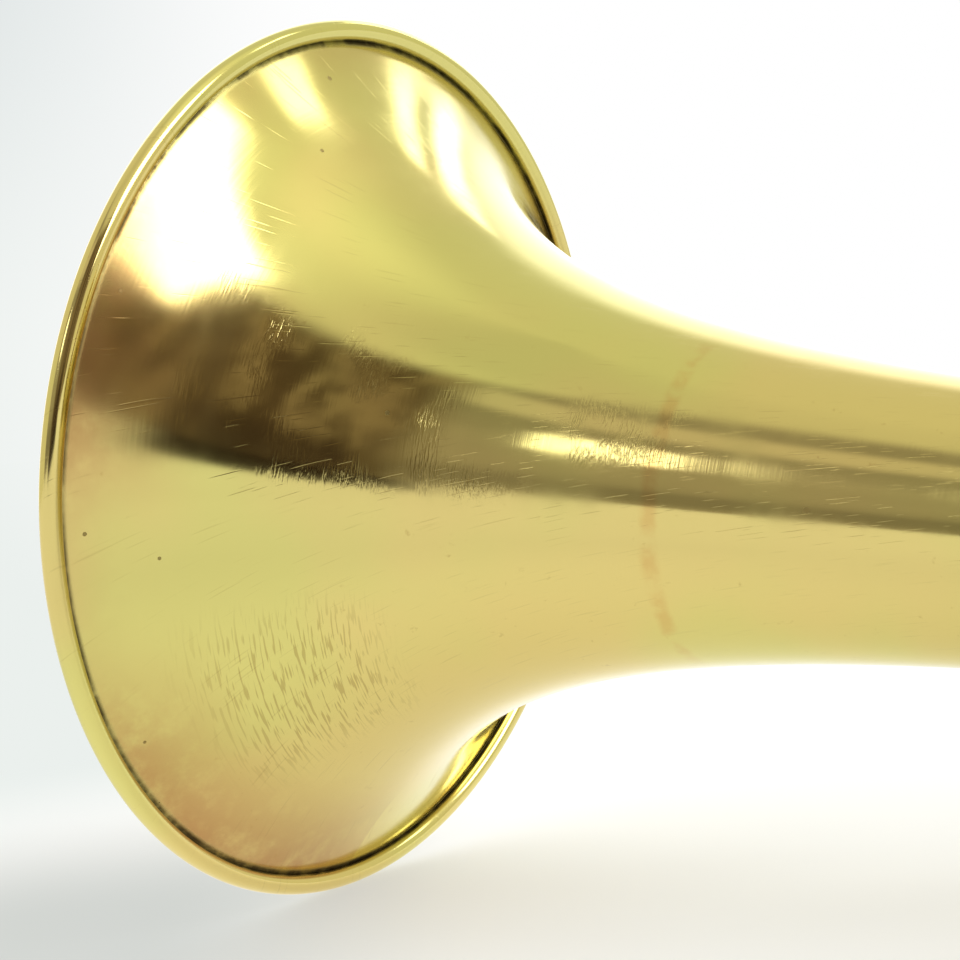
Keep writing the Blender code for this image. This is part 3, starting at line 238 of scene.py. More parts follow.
def raw_brass_bell():
    """Spun raw brass, buffed by hand and worn: the bell and its rim wire.

    The buffing leaves haze and hairlines round the bell, handling leaves pits and scratches, and bare
    brass goes pink-brown where fingers and damp sit, just inside the rim.
    """
    finish = bpy.context.scene.trumpet_finish
    material, tree, shader = new_surface("raw_brass_spun_bell")
    place = place_in(tree, BELL)
    axes = node(tree, "ShaderNodeSeparateXYZ", {0: place}).outputs
    behind = node(tree, "ShaderNodeMath", {0: axes[0], 1: -1000.0}, operation="MULTIPLY").outputs[0]
    angle = node(tree, "ShaderNodeMath", {0: axes[1], 1: axes[2]}, operation="ARCTAN2").outputs[0]
    degrees = node(tree, "ShaderNodeMath", {0: angle, 1: 180 / math.pi}, operation="MULTIPLY").outputs[0]
    square = node(tree, "ShaderNodeMath", {0: axes[1], 1: axes[1]}, operation="MULTIPLY").outputs[0]
    square = node(
        tree, "ShaderNodeMath", {0: axes[2], 1: axes[2], 2: square}, operation="MULTIPLY_ADD"
    ).outputs[0]
    radius = node(tree, "ShaderNodeMath", {0: square}, operation="SQRT").outputs[0]
    arc = node(tree, "ShaderNodeMath", {0: angle, 1: 0.040}, operation="MULTIPLY").outputs[0]
    unrolled = node(tree, "ShaderNodeCombineXYZ", {0: axes[0], 1: arc}).outputs[0]

    # Broad patches of slightly greener and warmer metal
    patches = grain(tree, place, 38.0, detail=2.0)
    colour = tinted(
        tree, masked(tree, patches, 0.38, 0.62), linear(finish.brass_green),
        linear(finish.brass_warm),
    )
    # Tarnish inside the rim, heaviest low on the near side and at its upper left
    ragged = grain(tree, place, 7.0, detail=5.0, roughness=0.65)
    wobble = node(
        tree, "ShaderNodeMath", {0: ragged, 1: 9.0, 2: behind}, operation="MULTIPLY_ADD"
    ).outputs[0]
    rim_band = masked(tree, wobble, 5.0, 17.0, 1.0, 0.0)
    low_side = band(tree, degrees, 118.0, 180.0, 26.0)
    upper_left = product(tree, band(tree, degrees, 48.0, 88.0, 18.0), 0.9)
    high_side = product(tree, band(tree, degrees, -60.0, 40.0, 30.0), 0.30)
    edge = masked(tree, wobble, 3.0, 9.0, 0.35, 0.0)
    tarnish = product(tree, rim_band, total(tree, low_side, upper_left, high_side))
    tarnish = product(tree, total(tree, tarnish, edge), masked(tree, radius, 0.0576, 0.0586, 1.0, 0.0))
    tarnish = product(tree, tarnish, masked(tree, ragged, 0.25, 0.65, 0.35, 1.0))
    colour = tinted(tree, product(tree, tarnish, 0.64), colour, linear(finish.tarnish))
    # Freckles of dull brown over the whole bell
    freckle = masked(tree, grain(tree, place, 2.2, detail=4.0, roughness=0.7), 0.64, 0.74)
    freckle = product(tree, freckle, masked(tree, patches, 0.35, 0.6))
    colour = tinted(tree, product(tree, freckle, 0.30), colour, linear("A57F3B"))
    # The braze line that joins the flare to the stem
    line_wobble = node(
        tree, "ShaderNodeMath", {0: ragged, 1: 2.4, 2: behind}, operation="MULTIPLY_ADD"
    ).outputs[0]
    braze = product(
        tree, band(tree, line_wobble, 60.6, 62.4, 1.2), band(tree, degrees, 20.0, 150.0, 40.0),
        masked(tree, grain(tree, place, 5.0), 0.35, 0.6),
    )
    colour = tinted(tree, product(tree, braze, 0.30), colour, linear("C58A45"))
    # Pits, each about half a millimetre across
    cells = node(
        tree, "ShaderNodeTexVoronoi", {"Vector": place, "Scale": 1 / (6.5 * MM), "Randomness": 1.0}
    )
    chosen = node(tree, "ShaderNodeSeparateColor", {0: cells.outputs["Color"]})
    size = masked(tree, chosen.outputs[1], 0.0, 1.0, 0.020, 0.065)
    inside = node(
        tree, "ShaderNodeMath", {0: cells.outputs["Distance"], 1: size}, operation="LESS_THAN"
    ).outputs[0]
    picked = node(tree, "ShaderNodeMath", {0: chosen.outputs[0], 1: 0.55}, operation="GREATER_THAN")
    pits = product(tree, inside, picked.outputs[0])
    colour = tinted(tree, product(tree, pits, 0.65), colour, linear("5A4320"))
    # A patch of crossing scratches low on the near side, and finer ones all over
    scuffs = grain(tree, unrolled, 0.30, stretch=(14.0, 1.0, 1.0), detail=1.0, turn=math.radians(97))
    scuffs = masked(tree, scuffs, 0.53, 0.62)
    patch = product(
        tree, band(tree, behind, 8.0, 24.0, 8.0), band(tree, degrees, 114.0, 146.0, 14.0),
    )
    fine = grain(tree, unrolled, 0.30, stretch=(24.0, 1.0, 1.0), detail=1.0, turn=math.radians(-24))
    fine = product(tree, masked(tree, fine, 0.66, 0.74), 0.35)
    cuts = total(tree, product(tree, scuffs, patch), fine)
    colour = tinted(tree, product(tree, cuts, 0.38), colour, linear("8A6A30"))
    # Painted shade: the crease where the flare meets the rim wire is darkened, as a shaded recess
    groove_shade = product(
        tree, masked(tree, behind, 0.05, 0.45, 1.0, 0.0),
        band(tree, radius, 0.0570, 0.0592, 0.0005), masked(tree, ragged, 0.3, 0.6, 0.35, 0.9),
    )
    colour = tinted(tree, groove_shade, colour, linear("2A1B10"))
    tree.links.new(colour, shader.inputs["Base Color"])
    shader.inputs["Metallic"].default_value = 1.0

    # Buffing haze in bands along the bell, and hairlines round it
    haze = grain(tree, unrolled, 16.0, stretch=(1.0, 2.6, 1.0), detail=4.0)
    haze = masked(tree, haze, 0.42, 0.68, 0.0, 0.11)
    rough = total(tree, haze, finish.brass_roughness, product(tree, tarnish, 0.06))
    rough = total(tree, rough, product(tree, pits, 0.3), product(tree, groove_shade, 0.5))
    tree.links.new(rough, shader.inputs["Roughness"])

    hairlines = grain(tree, unrolled, 0.35, stretch=(1.0, 60.0, 1.0), detail=2.0)
    waves = grain(tree, place, 11.0, detail=1.0)
    scratched = grain(tree, place, 9.0, detail=3.0)
    speckle = product(
        tree,
        masked(tree, grain(tree, unrolled, 0.26, stretch=(1.0, 12.0, 1.0), detail=3.0), 0.42, 0.66),
        masked(tree, scratched, 0.46, 0.66), band(tree, degrees, 50.0, 112.0, 20.0),
        band(tree, behind, 10.0, 62.0, 14.0),
    )
    height = total(
        tree, product(tree, hairlines, 0.16), product(tree, waves, 1.4),
        product(tree, speckle, -0.75), product(tree, cuts, -0.55), product(tree, pits, -1.2),
    )
    bump = node(tree, "ShaderNodeBump", {"Height": height, "Strength": 1.0, "Distance": 0.02 * MM})
    tree.links.new(bump.outputs[0], shader.inputs["Normal"])
    return material


def raw_brass_tube():
    """Drawn and bent raw brass tube, hand-buffed: dull brown in places, with painted shade darkening its
    hollows.
    """
    finish = bpy.context.scene.trumpet_finish
    material, tree, shader = new_surface("raw_brass_drawn_tube")
    place = place_in(tree, INSTRUMENT)
    patches = grain(tree, place, 22.0, detail=3.0)
    colour = tinted(
        tree, masked(tree, patches, 0.35, 0.65), linear(finish.brass_green),
        linear(finish.brass_warm),
    )
    ragged = grain(tree, place, 5.0, detail=6.0, roughness=0.7)
    stain = masked(tree, ragged, 0.50, 0.72)
    colour = tinted(tree, product(tree, stain, 0.45), colour, linear(finish.tarnish))
    # Painted shade: hollows and places between parts, found by the occlusion node, are darkened to a deep brown
    hollows = node(tree, "ShaderNodeAmbientOcclusion", {"Distance": 4.0 * MM}, samples=8)
    hollow_shade = masked(tree, hollows.outputs["AO"], 0.25, 0.75, 1.0, 0.0)
    hollow_shade = product(tree, hollow_shade, masked(tree, ragged, 0.3, 0.6, 0.4, 1.0))
    colour = tinted(tree, product(tree, hollow_shade, 0.6), colour, linear("4A3218"))
    tree.links.new(colour, shader.inputs["Base Color"])
    shader.inputs["Metallic"].default_value = 1.0
    rough = total(
        tree, product(tree, stain, 0.14),
        masked(tree, grain(tree, place, 9.0, detail=4.0), 0.35, 0.7, 0.0, 0.10),
        finish.brass_roughness,
    )
    tree.links.new(rough, shader.inputs["Roughness"])
    lines = grain(tree, place, 0.4, stretch=(30.0, 1.0, 1.0), detail=2.0)
    nicks = masked(tree, grain(tree, place, 1.2, stretch=(4.0, 1.0, 1.0), detail=2.0), 0.68, 0.76)
    height = total(tree, product(tree, lines, 0.2), product(tree, nicks, -0.8))
    bump = node(tree, "ShaderNodeBump", {"Height": height, "Strength": 0.8, "Distance": 0.02 * MM})
    tree.links.new(bump.outputs[0], shader.inputs["Normal"])
    return material


def polished_metal(name, clean, dull, roughness, wear_mm):
    """A turned and polished white metal, with duller bloom and fine handling marks."""
    material, tree, shader = new_surface(name)
    place = place_in(tree, INSTRUMENT)
    bloom = masked(tree, grain(tree, place, wear_mm * 9, detail=3.0, roughness=0.5), 0.36, 0.74)
    colour = tinted(tree, product(tree, bloom, 0.7), linear(clean), linear(dull))
    # Painted shade: hollows and places between parts, found by the occlusion node, are darkened to a dark
    # brown-grey
    hollows = node(tree, "ShaderNodeAmbientOcclusion", {"Distance": 3.0 * MM}, samples=8)
    hollow_shade = masked(tree, hollows.outputs["AO"], 0.2, 0.7, 0.6, 0.0)
    colour = tinted(tree, hollow_shade, colour, linear("3A3128"))
    tree.links.new(colour, shader.inputs["Base Color"])
    shader.inputs["Metallic"].default_value = 1.0
    rough = total(tree, product(tree, bloom, 0.10), roughness)
    tree.links.new(rough, shader.inputs["Roughness"])
    marks = masked(tree, grain(tree, place, wear_mm, stretch=(1.0, 1.0, 9.0), detail=2.0), 0.6, 0.8)
    bump = node(
        tree, "ShaderNodeBump",
        {"Height": product(tree, marks, -1.0), "Strength": 0.35, "Distance": 0.02 * MM},
    )
    tree.links.new(bump.outputs[0], shader.inputs["Normal"])
    return material


def mother_of_pearl():
    """Sawn and polished shell: milky, with soft wavy bands that shift from cream to pale pink and green."""
    material, tree, shader = new_surface("mother_of_pearl_polished")
    place = place_in(tree, INSTRUMENT)
    swirl = grain(tree, place, 2.6, stretch=(1.0, 2.2, 1.0), detail=4.0, roughness=0.6)
    ramp = node(tree, "ShaderNodeValToRGB", {0: swirl})
    stops = ramp.color_ramp.elements
    stops[0].position = 0.32
    stops[0].color = linear("CFC6B2")
    stops[1].position = 0.70
    stops[1].color = linear("EFE9DC")
    for position, code in ((0.44, "E3D3CC"), (0.52, "D6DED2"), (0.60, "E8DDBE")):
        stop = stops.new(position)
        stop.color = linear(code)
    tree.links.new(ramp.outputs[0], shader.inputs["Base Color"])
    tree.links.new(masked(tree, swirl, 0.3, 0.7, 0.12, 0.30), shader.inputs["Roughness"])
    shader.inputs["IOR"].default_value = 1.53
    shader.inputs["Coat Weight"].default_value = 0.4
    shader.inputs["Coat Roughness"].default_value = 0.08
    layers = grain(tree, place, 0.5, stretch=(1.0, 6.0, 1.0), detail=2.0)
    bump = node(tree, "ShaderNodeBump", {"Height": layers, "Strength": 0.25, "Distance": 0.03 * MM})
    tree.links.new(bump.outputs[0], shader.inputs["Normal"])
    return material


def wool_felt():
    """Pressed wool felt: a dull, fibrous off-white that has gone grey at the edges."""
    material, tree, shader = new_surface("wool_felt_pressed")
    place = place_in(tree, INSTRUMENT)
    fibres = grain(tree, place, 0.35, stretch=(3.0, 1.0, 1.0), detail=6.0, roughness=0.75)
    soil = grain(tree, place, 4.0, detail=3.0)
    colour = tinted(tree, masked(tree, fibres, 0.3, 0.7), linear("8F8A7A"), linear("C9C3B2"))
    colour = tinted(tree, masked(tree, soil, 0.5, 0.75, 0.0, 0.5), colour, linear("6B6250"))
    tree.links.new(colour, shader.inputs["Base Color"])
    tree.links.new(masked(tree, fibres, 0.2, 0.8, 0.85, 1.0), shader.inputs["Roughness"])
    shader.inputs["Sheen Weight"].default_value = 0.35
    bump = node(tree, "ShaderNodeBump", {"Height": fibres, "Strength": 0.9, "Distance": 0.25 * MM})
    tree.links.new(bump.outputs[0], shader.inputs["Normal"])
    return material


def cork_stopper():
    """Cut natural cork: tan, with dark lens-shaped pores."""
    material, tree, shader = new_surface("natural_cork_cut")
    place = place_in(tree, INSTRUMENT)
    mottle = grain(tree, place, 0.8, detail=5.0, roughness=0.7)
    pores = masked(tree, grain(tree, place, 0.5, stretch=(2.5, 1.0, 1.0), detail=2.0), 0.60, 0.68)
    colour = tinted(tree, masked(tree, mottle, 0.3, 0.7), linear("8A5F38"), linear("C39A69"))
    colour = tinted(tree, product(tree, pores, 0.8), colour, linear("3F2614"))
    tree.links.new(colour, shader.inputs["Base Color"])
    tree.links.new(masked(tree, mottle, 0.2, 0.8, 0.75, 0.95), shader.inputs["Roughness"])
    height = total(tree, mottle, product(tree, pores, -1.0))
    bump = node(tree, "ShaderNodeBump", {"Height": height, "Strength": 0.8, "Distance": 0.15 * MM})
    tree.links.new(bump.outputs[0], shader.inputs["Normal"])
    return material


def backdrop_with_painted_shade(tree, bearing, height):
    """The pale backdrop as it is seen straight on: white, with painted shade going to a cool grey on the bell's
    side, greyer higher up, where the light falls off.
    """
    side = product(
        tree, masked(tree, bearing, -150.0, -80.0), masked(tree, bearing, -51.0, -37.0, 1.0, 0.0)
    )
    # Painted shade: a cool grey on the bell's side, and a darker grey above it there
    top = product(tree, side, masked(tree, height, 2.0, 14.0))
    colour = tinted(tree, side, linear("FFFFFF"), linear("EBF0ED"))
    return tinted(tree, top, colour, linear("D9DFE0"))


def opal_acrylic():
    """Matt opal acrylic, cast as a sheet and lit from below: a milky white with hardly any shadow.

    Its far edge on the dark room's side stays unlit in the metal's reflections.
    """
    stage = bpy.context.scene.trumpet_stage
    material, tree, shader = new_surface("opal_acrylic_lit_sheet")
    place = node(tree, "ShaderNodeTexCoord").outputs["Object"]
    mottle = grain(tree, place, 160.0, detail=3.0)
    colour = tinted(tree, masked(tree, mottle, 0.3, 0.7), linear("B7B7B4"), linear("BBBBB9"))
    tree.links.new(colour, shader.inputs["Base Color"])
    tree.links.new(masked(tree, mottle, 0.3, 0.7, 0.70, 0.80), shader.inputs["Roughness"])
    shader.inputs["IOR"].default_value = 1.49
    shader.inputs["Specular IOR Level"].default_value = 0.2
    shader.inputs["Emission Color"].default_value = (1.0, 1.0, 0.985, 1.0)
    fibre = grain(tree, place, 1.2, detail=4.0)
    bump = node(tree, "ShaderNodeBump", {"Height": fibre, "Strength": 0.1, "Distance": 0.05 * MM})
    tree.links.new(bump.outputs[0], shader.inputs["Normal"])
    # How far from the bell, and on which bearing
    rim = BELL.translation
    shifted = node(
        tree, "ShaderNodeVectorMath", {0: place, 1: (rim.x, rim.y, 0.0)}, operation="SUBTRACT"
    ).outputs[0]
    away = node(tree, "ShaderNodeVectorMath", {0: shifted}, operation="LENGTH").outputs["Value"]
    axes = node(tree, "ShaderNodeSeparateXYZ", {0: shifted}).outputs
    turn = node(tree, "ShaderNodeMath", {0: axes[0], 1: axes[1]}, operation="ARCTAN2").outputs[0]
    bearing = node(tree, "ShaderNodeMath", {0: turn, 1: 180 / math.pi}, operation="MULTIPLY").outputs[0]
    rays = node(tree, "ShaderNodeLightPath").outputs
    # Extra light under the bell that only the metal's reflections see
    fill = product(tree, masked(tree, away, 0.03, 0.14, 0.20, 0.0), rays["Is Glossy Ray"])
    tree.links.new(total(tree, fill, stage.table_glow), shader.inputs["Emission Strength"])
    # A part toward the dark room that only the metal's reflections see as unlit
    near_side = product(
        tree, masked(tree, away, 0.62, 0.80), band(tree, bearing, 118.0, 168.0, 12.0)
    )
    unlit = product(tree, near_side, rays["Is Glossy Ray"])
    black = node(tree, "ShaderNodeEmission", {"Color": linear("40332A"), "Strength": 0.6})
    mix = node(tree, "ShaderNodeMixShader", {0: unlit, 1: shader.outputs[0], 2: black.outputs[0]})
    # Far off, and close by on the bell's side, camera rays see the backdrop's colour, not the sheet: on the
    # bell's side this is a painted cool grey shade
    horizon = node(tree, "ShaderNodeEmission", {"Color": backdrop_with_painted_shade(tree, bearing, 0.0)})
    bell_side = product(
        tree, masked(tree, bearing, -150.0, -86.0), masked(tree, bearing, -46.0, -22.0, 1.0, 0.0)
    )
    merged = node(
        tree,
        "ShaderNodeMath",
        {0: masked(tree, away, 0.35, 1.6), 1: product(tree, bell_side, masked(tree, away, 0.05, 0.17))},
        operation="MAXIMUM",
    ).outputs[0]
    far_off = product(tree, merged, rays["Is Camera Ray"])
    mix = node(tree, "ShaderNodeMixShader", {0: far_off, 1: mix.outputs[0], 2: horizon.outputs[0]})
    # A soft shadow to the bell's left. It is painted on the sheet at a fixed place, for camera rays only
    left = node(
        tree, "ShaderNodeVectorMath", {0: shifted, 1: (-0.82, -0.57, 0.0)}, operation="DOT_PRODUCT"
    ).outputs["Value"]
    ahead = node(
        tree, "ShaderNodeVectorMath", {0: shifted, 1: (0.57, -0.82, 0.0)}, operation="DOT_PRODUCT"
    ).outputs["Value"]
    shadow = product(
        tree, masked(tree, left, -0.014, 0.034), masked(tree, left, 0.05, 0.14, 1.0, 0.0),
        masked(tree, ahead, -0.085, 0.0, 0.0, 0.85), rays["Is Camera Ray"],
    )
    grey = node(tree, "ShaderNodeEmission", {"Color": linear("CCD0CC")})
    mix = node(tree, "ShaderNodeMixShader", {0: shadow, 1: mix.outputs[0], 2: grey.outputs[0]})
    output = next(n for n in tree.nodes if n.type == "OUTPUT_MATERIAL")
    tree.links.new(mix.outputs[0], output.inputs["Surface"])
    return material


MAKERS = {
    "raw_brass_spun_bell": raw_brass_bell,
    "raw_brass_drawn_tube": raw_brass_tube,
    # Nickel silver, turned and polished: a warm grey white with soft bloom
    "nickel_silver_turned": lambda: polished_metal(
        "nickel_silver_turned", "CFC7B6", "A79C86", 0.16, 1.0
    ),
    # Silver plate over turned brass: the whitest and sharpest metal here, gone yellow-grey in places
    "silver_plate_polished": lambda: polished_metal(
        "silver_plate_polished", "E6E2DA", "B9AE98", 0.10, 0.8
    ),
    # Drawn spring steel wire: darker grey, with fine die lines
    "spring_steel_drawn": lambda: polished_metal(
        "spring_steel_drawn", "A3A3A4", "6F6A63", 0.28, 0.5
    ),
    "mother_of_pearl_polished": mother_of_pearl,
    "wool_felt_pressed": wool_felt,
    "natural_cork_cut": cork_stopper,
    "opal_acrylic_lit_sheet": opal_acrylic,
}
BELL_BRASS = "raw_brass_spun_bell"
BRASS = "raw_brass_drawn_tube"
NICKEL = "nickel_silver_turned"
SILVER = "silver_plate_polished"
STEEL = "spring_steel_drawn"


def surface(name):
    return bpy.data.materials.get(name) or MAKERS[name]()


# Shapes


def rounded(profile, radius, closed=False, parts=3):
    """A profile with each of its corners turned into a small round."""
    points = [Vector(point) for point in profile]
    count = len(points)
    result = []
    for index, corner in enumerate(points):
        if not closed and index in (0, count - 1):
            result.append(tuple(corner))
            continue
        before = points[index - 1] - corner
        after = points[(index + 1) % count] - corner
        reach = min(radius, before.length * 0.45, after.length * 0.45)
        start = corner + before.normalized() * reach
        end = corner + after.normalized() * reach
        for part in range(parts + 1):
            t = part / parts
            result.append(tuple(start * (1 - t) ** 2 + corner * 2 * t * (1 - t) + end * t * t))
    return result


def flowing(profile, parts=6):
    """A smooth curve through profile points."""
    points = [Vector(point) for point in profile]
    points = [2 * points[0] - points[1], *points, 2 * points[-1] - points[-2]]
    result = [tuple(points[1])]
    for a, b, c, d in zip(points, points[1:], points[2:], points[3:]):
        for part in range(1, parts + 1):
            t = part / parts
            place = 0.5 * (
                2 * b + (c - a) * t + (2 * a - 5 * b + 4 * c - d) * t**2 + (3 * b - a - 3 * c + d) * t**3
            )
            result.append(tuple(place))
    return result


def round_section(radius, centre, sides=24, width=1.0):
    """A wire's section: a circle at a radius from the axis, made wider along the axis."""
    return [
        (
            centre + radius * math.cos(math.tau * side / sides),
            width * radius * math.sin(math.tau * side / sides),
        ) for side in range(sides)
    ]


def hairpin(upper, lower, outward, leg, parts=28):
    """A centre line out along a leg, round half a circle and back."""
    middle = (upper + lower) / 2
    spoke = upper - middle
    points = [upper - outward * leg * (1 - part / 4) for part in range(4)]
    for part in range(parts + 1):
        angle = math.pi * part / parts
        points.append(middle + spoke * math.cos(angle) + outward * spoke.length * math.sin(angle))
    points += [lower - outward * leg * part / 4 for part in range(1, 5)]
    return points


def offset_line(valve_x, outward, y, z, end_x, parts=14):
    """A sleeve's centre line from a casing's side, over to its own line along X."""
    lean = math.asin(max(-1.0, min(1.0, y / CASING))) * 0.75
    side = outward.x
    way = Vector((side * math.cos(lean), math.sin(lean), 0))
    start = Vector((valve_x, 0, z)) + 0.75 * CASING * way
    joint = Vector((valve_x + side * (CASING + 9.0 * MM), y, z))
    pull = (joint - start).length / 3
    first, second = start + pull * way, joint - pull * outward
    points = []
    for part in range(parts + 1):
        t = part / parts
        points.append(
            (
                1 - t
            ) ** 3 * start + 3 * (1 - t) ** 2 * t * first + 3 * (1 - t) * t**2 * second + t**3 * joint
        )
    points.append(Vector((end_x, y, z)))
    return points


class Shape:
    """Closed shells that make up one piece."""

    def __init__(self):
        self.vertices = []
        self.faces = []

    def ring(self, places):
        start = len(self.vertices)
        self.vertices += places
        return list(range(start, start + len(places)))

    def join(self, rings, closed):
        """Faces between each ring and the next. A ring of one vertex is a pole."""
        pairs = list(zip(rings, rings[1:]))
        if closed:
            pairs.append((rings[-1], rings[0]))
        for first, second in pairs:
            count = max(len(first), len(second))
            for index in range(count):
                after = (index + 1) % count
                corners = [
                    first[index % len(first)], first[after % len(first)],
                    second[after % len(second)], second[index % len(second)],
                ]
                face = [c for i, c in enumerate(corners) if c not in corners[:i]]
                if len(face) > 2:
                    self.faces.append(face)

    def lathe(self, profile, origin, axis, steps=96, closed=True, flutes=None):
        """A profile of (radius, height) points turned about an axis. Flutes are (low, high, count, depth)."""
        origin = Vector(origin)
        axis = Vector(axis).normalized()
        side = axis.orthogonal().normalized()
        other = axis.cross(side)
        rings = []
        for radius, height in profile:
            if radius < 1e-7:
                rings.append(self.ring([origin + axis * height]))
                continue
            places = []
            for step in range(steps):
                angle = math.tau * step / steps
                r = radius
                if flutes and flutes[0] <= height <= flutes[1]:
                    r -= flutes[3] * (0.5 - 0.5 * math.cos(flutes[2] * angle))
                places.append(
                    origin + axis * height + r * (side * math.cos(angle) + other * math.sin(angle))
                )
            rings.append(self.ring(places))
        self.join(rings, closed)
        return self

    def sweep(self, path, radius, wall=None, sides=28, copes=(None, None)):
        """A tube or rod along a path. radius may be a function of the share along. A cope fits an end to
        the round of the casing at that x."""
        points = [Vector(point) for point in path]
        count = len(points)
        tangents = []
        for index in range(count):
            before = points[max(index - 1, 0)]
            after = points[min(index + 1, count - 1)]
            tangents.append((after - before).normalized())
        side = tangents[0].orthogonal().normalized()
        frames = []
        for tangent in tangents:
            side = (side - side.dot(tangent) * tangent).normalized()
            frames.append((side.copy(), tangent.cross(side)))

        def rings_at(inset):
            rings = []
            for index, point in enumerate(points):
                share = index / (count - 1)
                size = (radius(share) if callable(radius) else radius) - inset
                across, up = frames[index]
                places = []
                for step in range(sides):
                    angle = math.tau * step / sides
                    place = point + size * (across * math.cos(angle) + up * math.sin(angle))
                    cope = copes[0] if index == 0 else copes[1] if index == count - 1 else None
                    if cope is not None:
                        place = meet_casing(place, tangents[index], cope)
                    places.append(place)
                rings.append(self.ring(places))
            return rings

        outer = rings_at(0.0)
        if wall is None:
            self.faces.append(list(outer[0]))
            self.faces.append(list(outer[-1]))
            self.join(outer, False)
        else:
            inner = rings_at(wall)
            self.join(outer + inner[::-1], True)
        return self

    def extrude(self, corners, origin, across, up, width, depth_axis):
        """A flat outline of (across, up) corners, made solid to a width."""
        half = depth_axis * width / 2
        near = self.ring([origin + across * a + up * b - half for a, b in corners])
        far = self.ring([origin + across * a + up * b + half for a, b in corners])
        self.join([near, far], False)
        self.faces.append(near)
        self.faces.append(far[::-1])
        return self

    def roughen(self, depth, size):
        """Push vertices about a little, for felt and cork."""
        for index, place in enumerate(self.vertices):
            self.vertices[index] = place + noise.noise_vector(place / size) * depth
        return self

    def piece(self, name, material, body, place=None, bevel=0.0, extra=False):
        """Make the object, which replaces the node of its name unless it is an extra one."""
        mesh = bpy.data.meshes.new(name)
        mesh.from_pydata(self.vertices, [], self.faces)
        shape = bmesh.new()
        shape.from_mesh(mesh)
        bmesh.ops.remove_doubles(shape, verts=shape.verts, dist=1e-7)
        if bevel:
            edges = [
                edge
                for edge in shape.edges
                if len(edge.link_faces) == 2 and edge.calc_face_angle(0) > math.radians(25)
            ]
            bmesh.ops.bevel(
                shape, geom=edges, offset=bevel, segments=3, profile=0.6, affect="EDGES", clamp_overlap=True
            )
        bmesh.ops.recalc_face_normals(shape, faces=shape.faces)
        shape.to_mesh(mesh)
        shape.free()
        mesh.shade_smooth()
        mesh.set_sharp_from_angle(angle=math.radians(38))
        mesh.materials.append(surface(material))
        obj = bpy.data.objects.new(name, mesh)
        bpy.context.scene.collection.objects.link(obj)
        mesh.transform(INSTRUMENT if place is None else place)
        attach(obj, body)
        if not extra:
            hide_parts(name)
        return obj


def meet_casing(place, along, casing_x):
    """Move a point along a direction on to the round of a valve casing."""
    depth = CASING - 0.4 * MM
    px, py = place.x - casing_x, place.y
    a = along.x**2 + along.y**2
    b = 2 * (px * along.x + py * along.y)
    c = px**2 + py**2 - depth**2
    root = math.sqrt(max(0.0, b * b - 4 * a * c))
    steps = ((-b - root) / (2 * a), (-b + root) / (2 * a))
    return place + along * min(steps, key=abs)


def end_ring(shape, end, axis, inner, width=5.0 * MM, proud=0.7 * MM):
    """A turned ring at a sleeve's mouth, with a bead at its front. The axis points out of the sleeve."""
    outer = inner + proud
    profile = rounded(
        [
            (inner - 0.2 * MM, 0.0), (outer + 0.35 * MM, 0.0), (outer + 0.35 * MM, -1.3 * MM),
            (outer, -1.7 * MM), (outer - 0.1 * MM, -width), (inner - 0.2 * MM, -width),
        ],
        0.25 * MM, closed=True,
    )
    shape.lathe(profile, end, axis, steps=72)
    return shape


# Properties


class BellSizes(bpy.types.PropertyGroup):
    """Sizes of the bell, whose outside follows one law from the rim back."""

    rim_radius: FloatProperty(
        name="Rim radius", description="Outside radius of the bell at its rim wire",
        default=find_mount("bell_mouth")["dims"]["r_mm"] * MM, unit="LENGTH",
    )
    wire_radius: FloatProperty(
        name="Rim wire radius", description="Radius of the wire that the edge is rolled over",
        default=1.4 * MM, unit="LENGTH",
    )
    length: FloatProperty(
        name="Length", description="Rim to the bow's joint", default=340.0 * MM, unit="LENGTH"
    )
    stem_radius: FloatProperty(
        name="Stem radius",
        description="Radius of the cone that the flare opens from, carried on to the rim",
        default=17.7 * MM, unit="LENGTH",
    )
    taper: FloatProperty(name="Taper", description="How fast the cone narrows", default=0.030)
    flare_length: FloatProperty(
        name="Flare length", description="How slowly the flare opens", default=152.0 * MM, unit="LENGTH"
    )
    flare_power: FloatProperty(name="Flare power", description="How late the flare opens", default=6.0)
    wall: FloatProperty(
        name="Wall", description="Thickness of the spun sheet", default=0.6 * MM, unit="LENGTH"
    )


class FinishSettings(bpy.types.PropertyGroup):
    """Colours and wear of the brass."""

    brass_green: StringProperty(
        name="Cool brass", description="sRGB hex colour of the metal where it is greenest", default="D2CA7B"
    )
    brass_warm: StringProperty(
        name="Warm brass", description="sRGB hex colour of the metal where it is warmest", default="D9C67E"
    )
    tarnish: StringProperty(
        name="Tarnish", description="sRGB hex colour of the brown film inside the rim", default="A9744A"
    )
    brass_roughness: FloatProperty(
        name="Roughness", description="Roughness of the best buffed metal", default=0.085, min=0.0,
        max=1.0,
    )


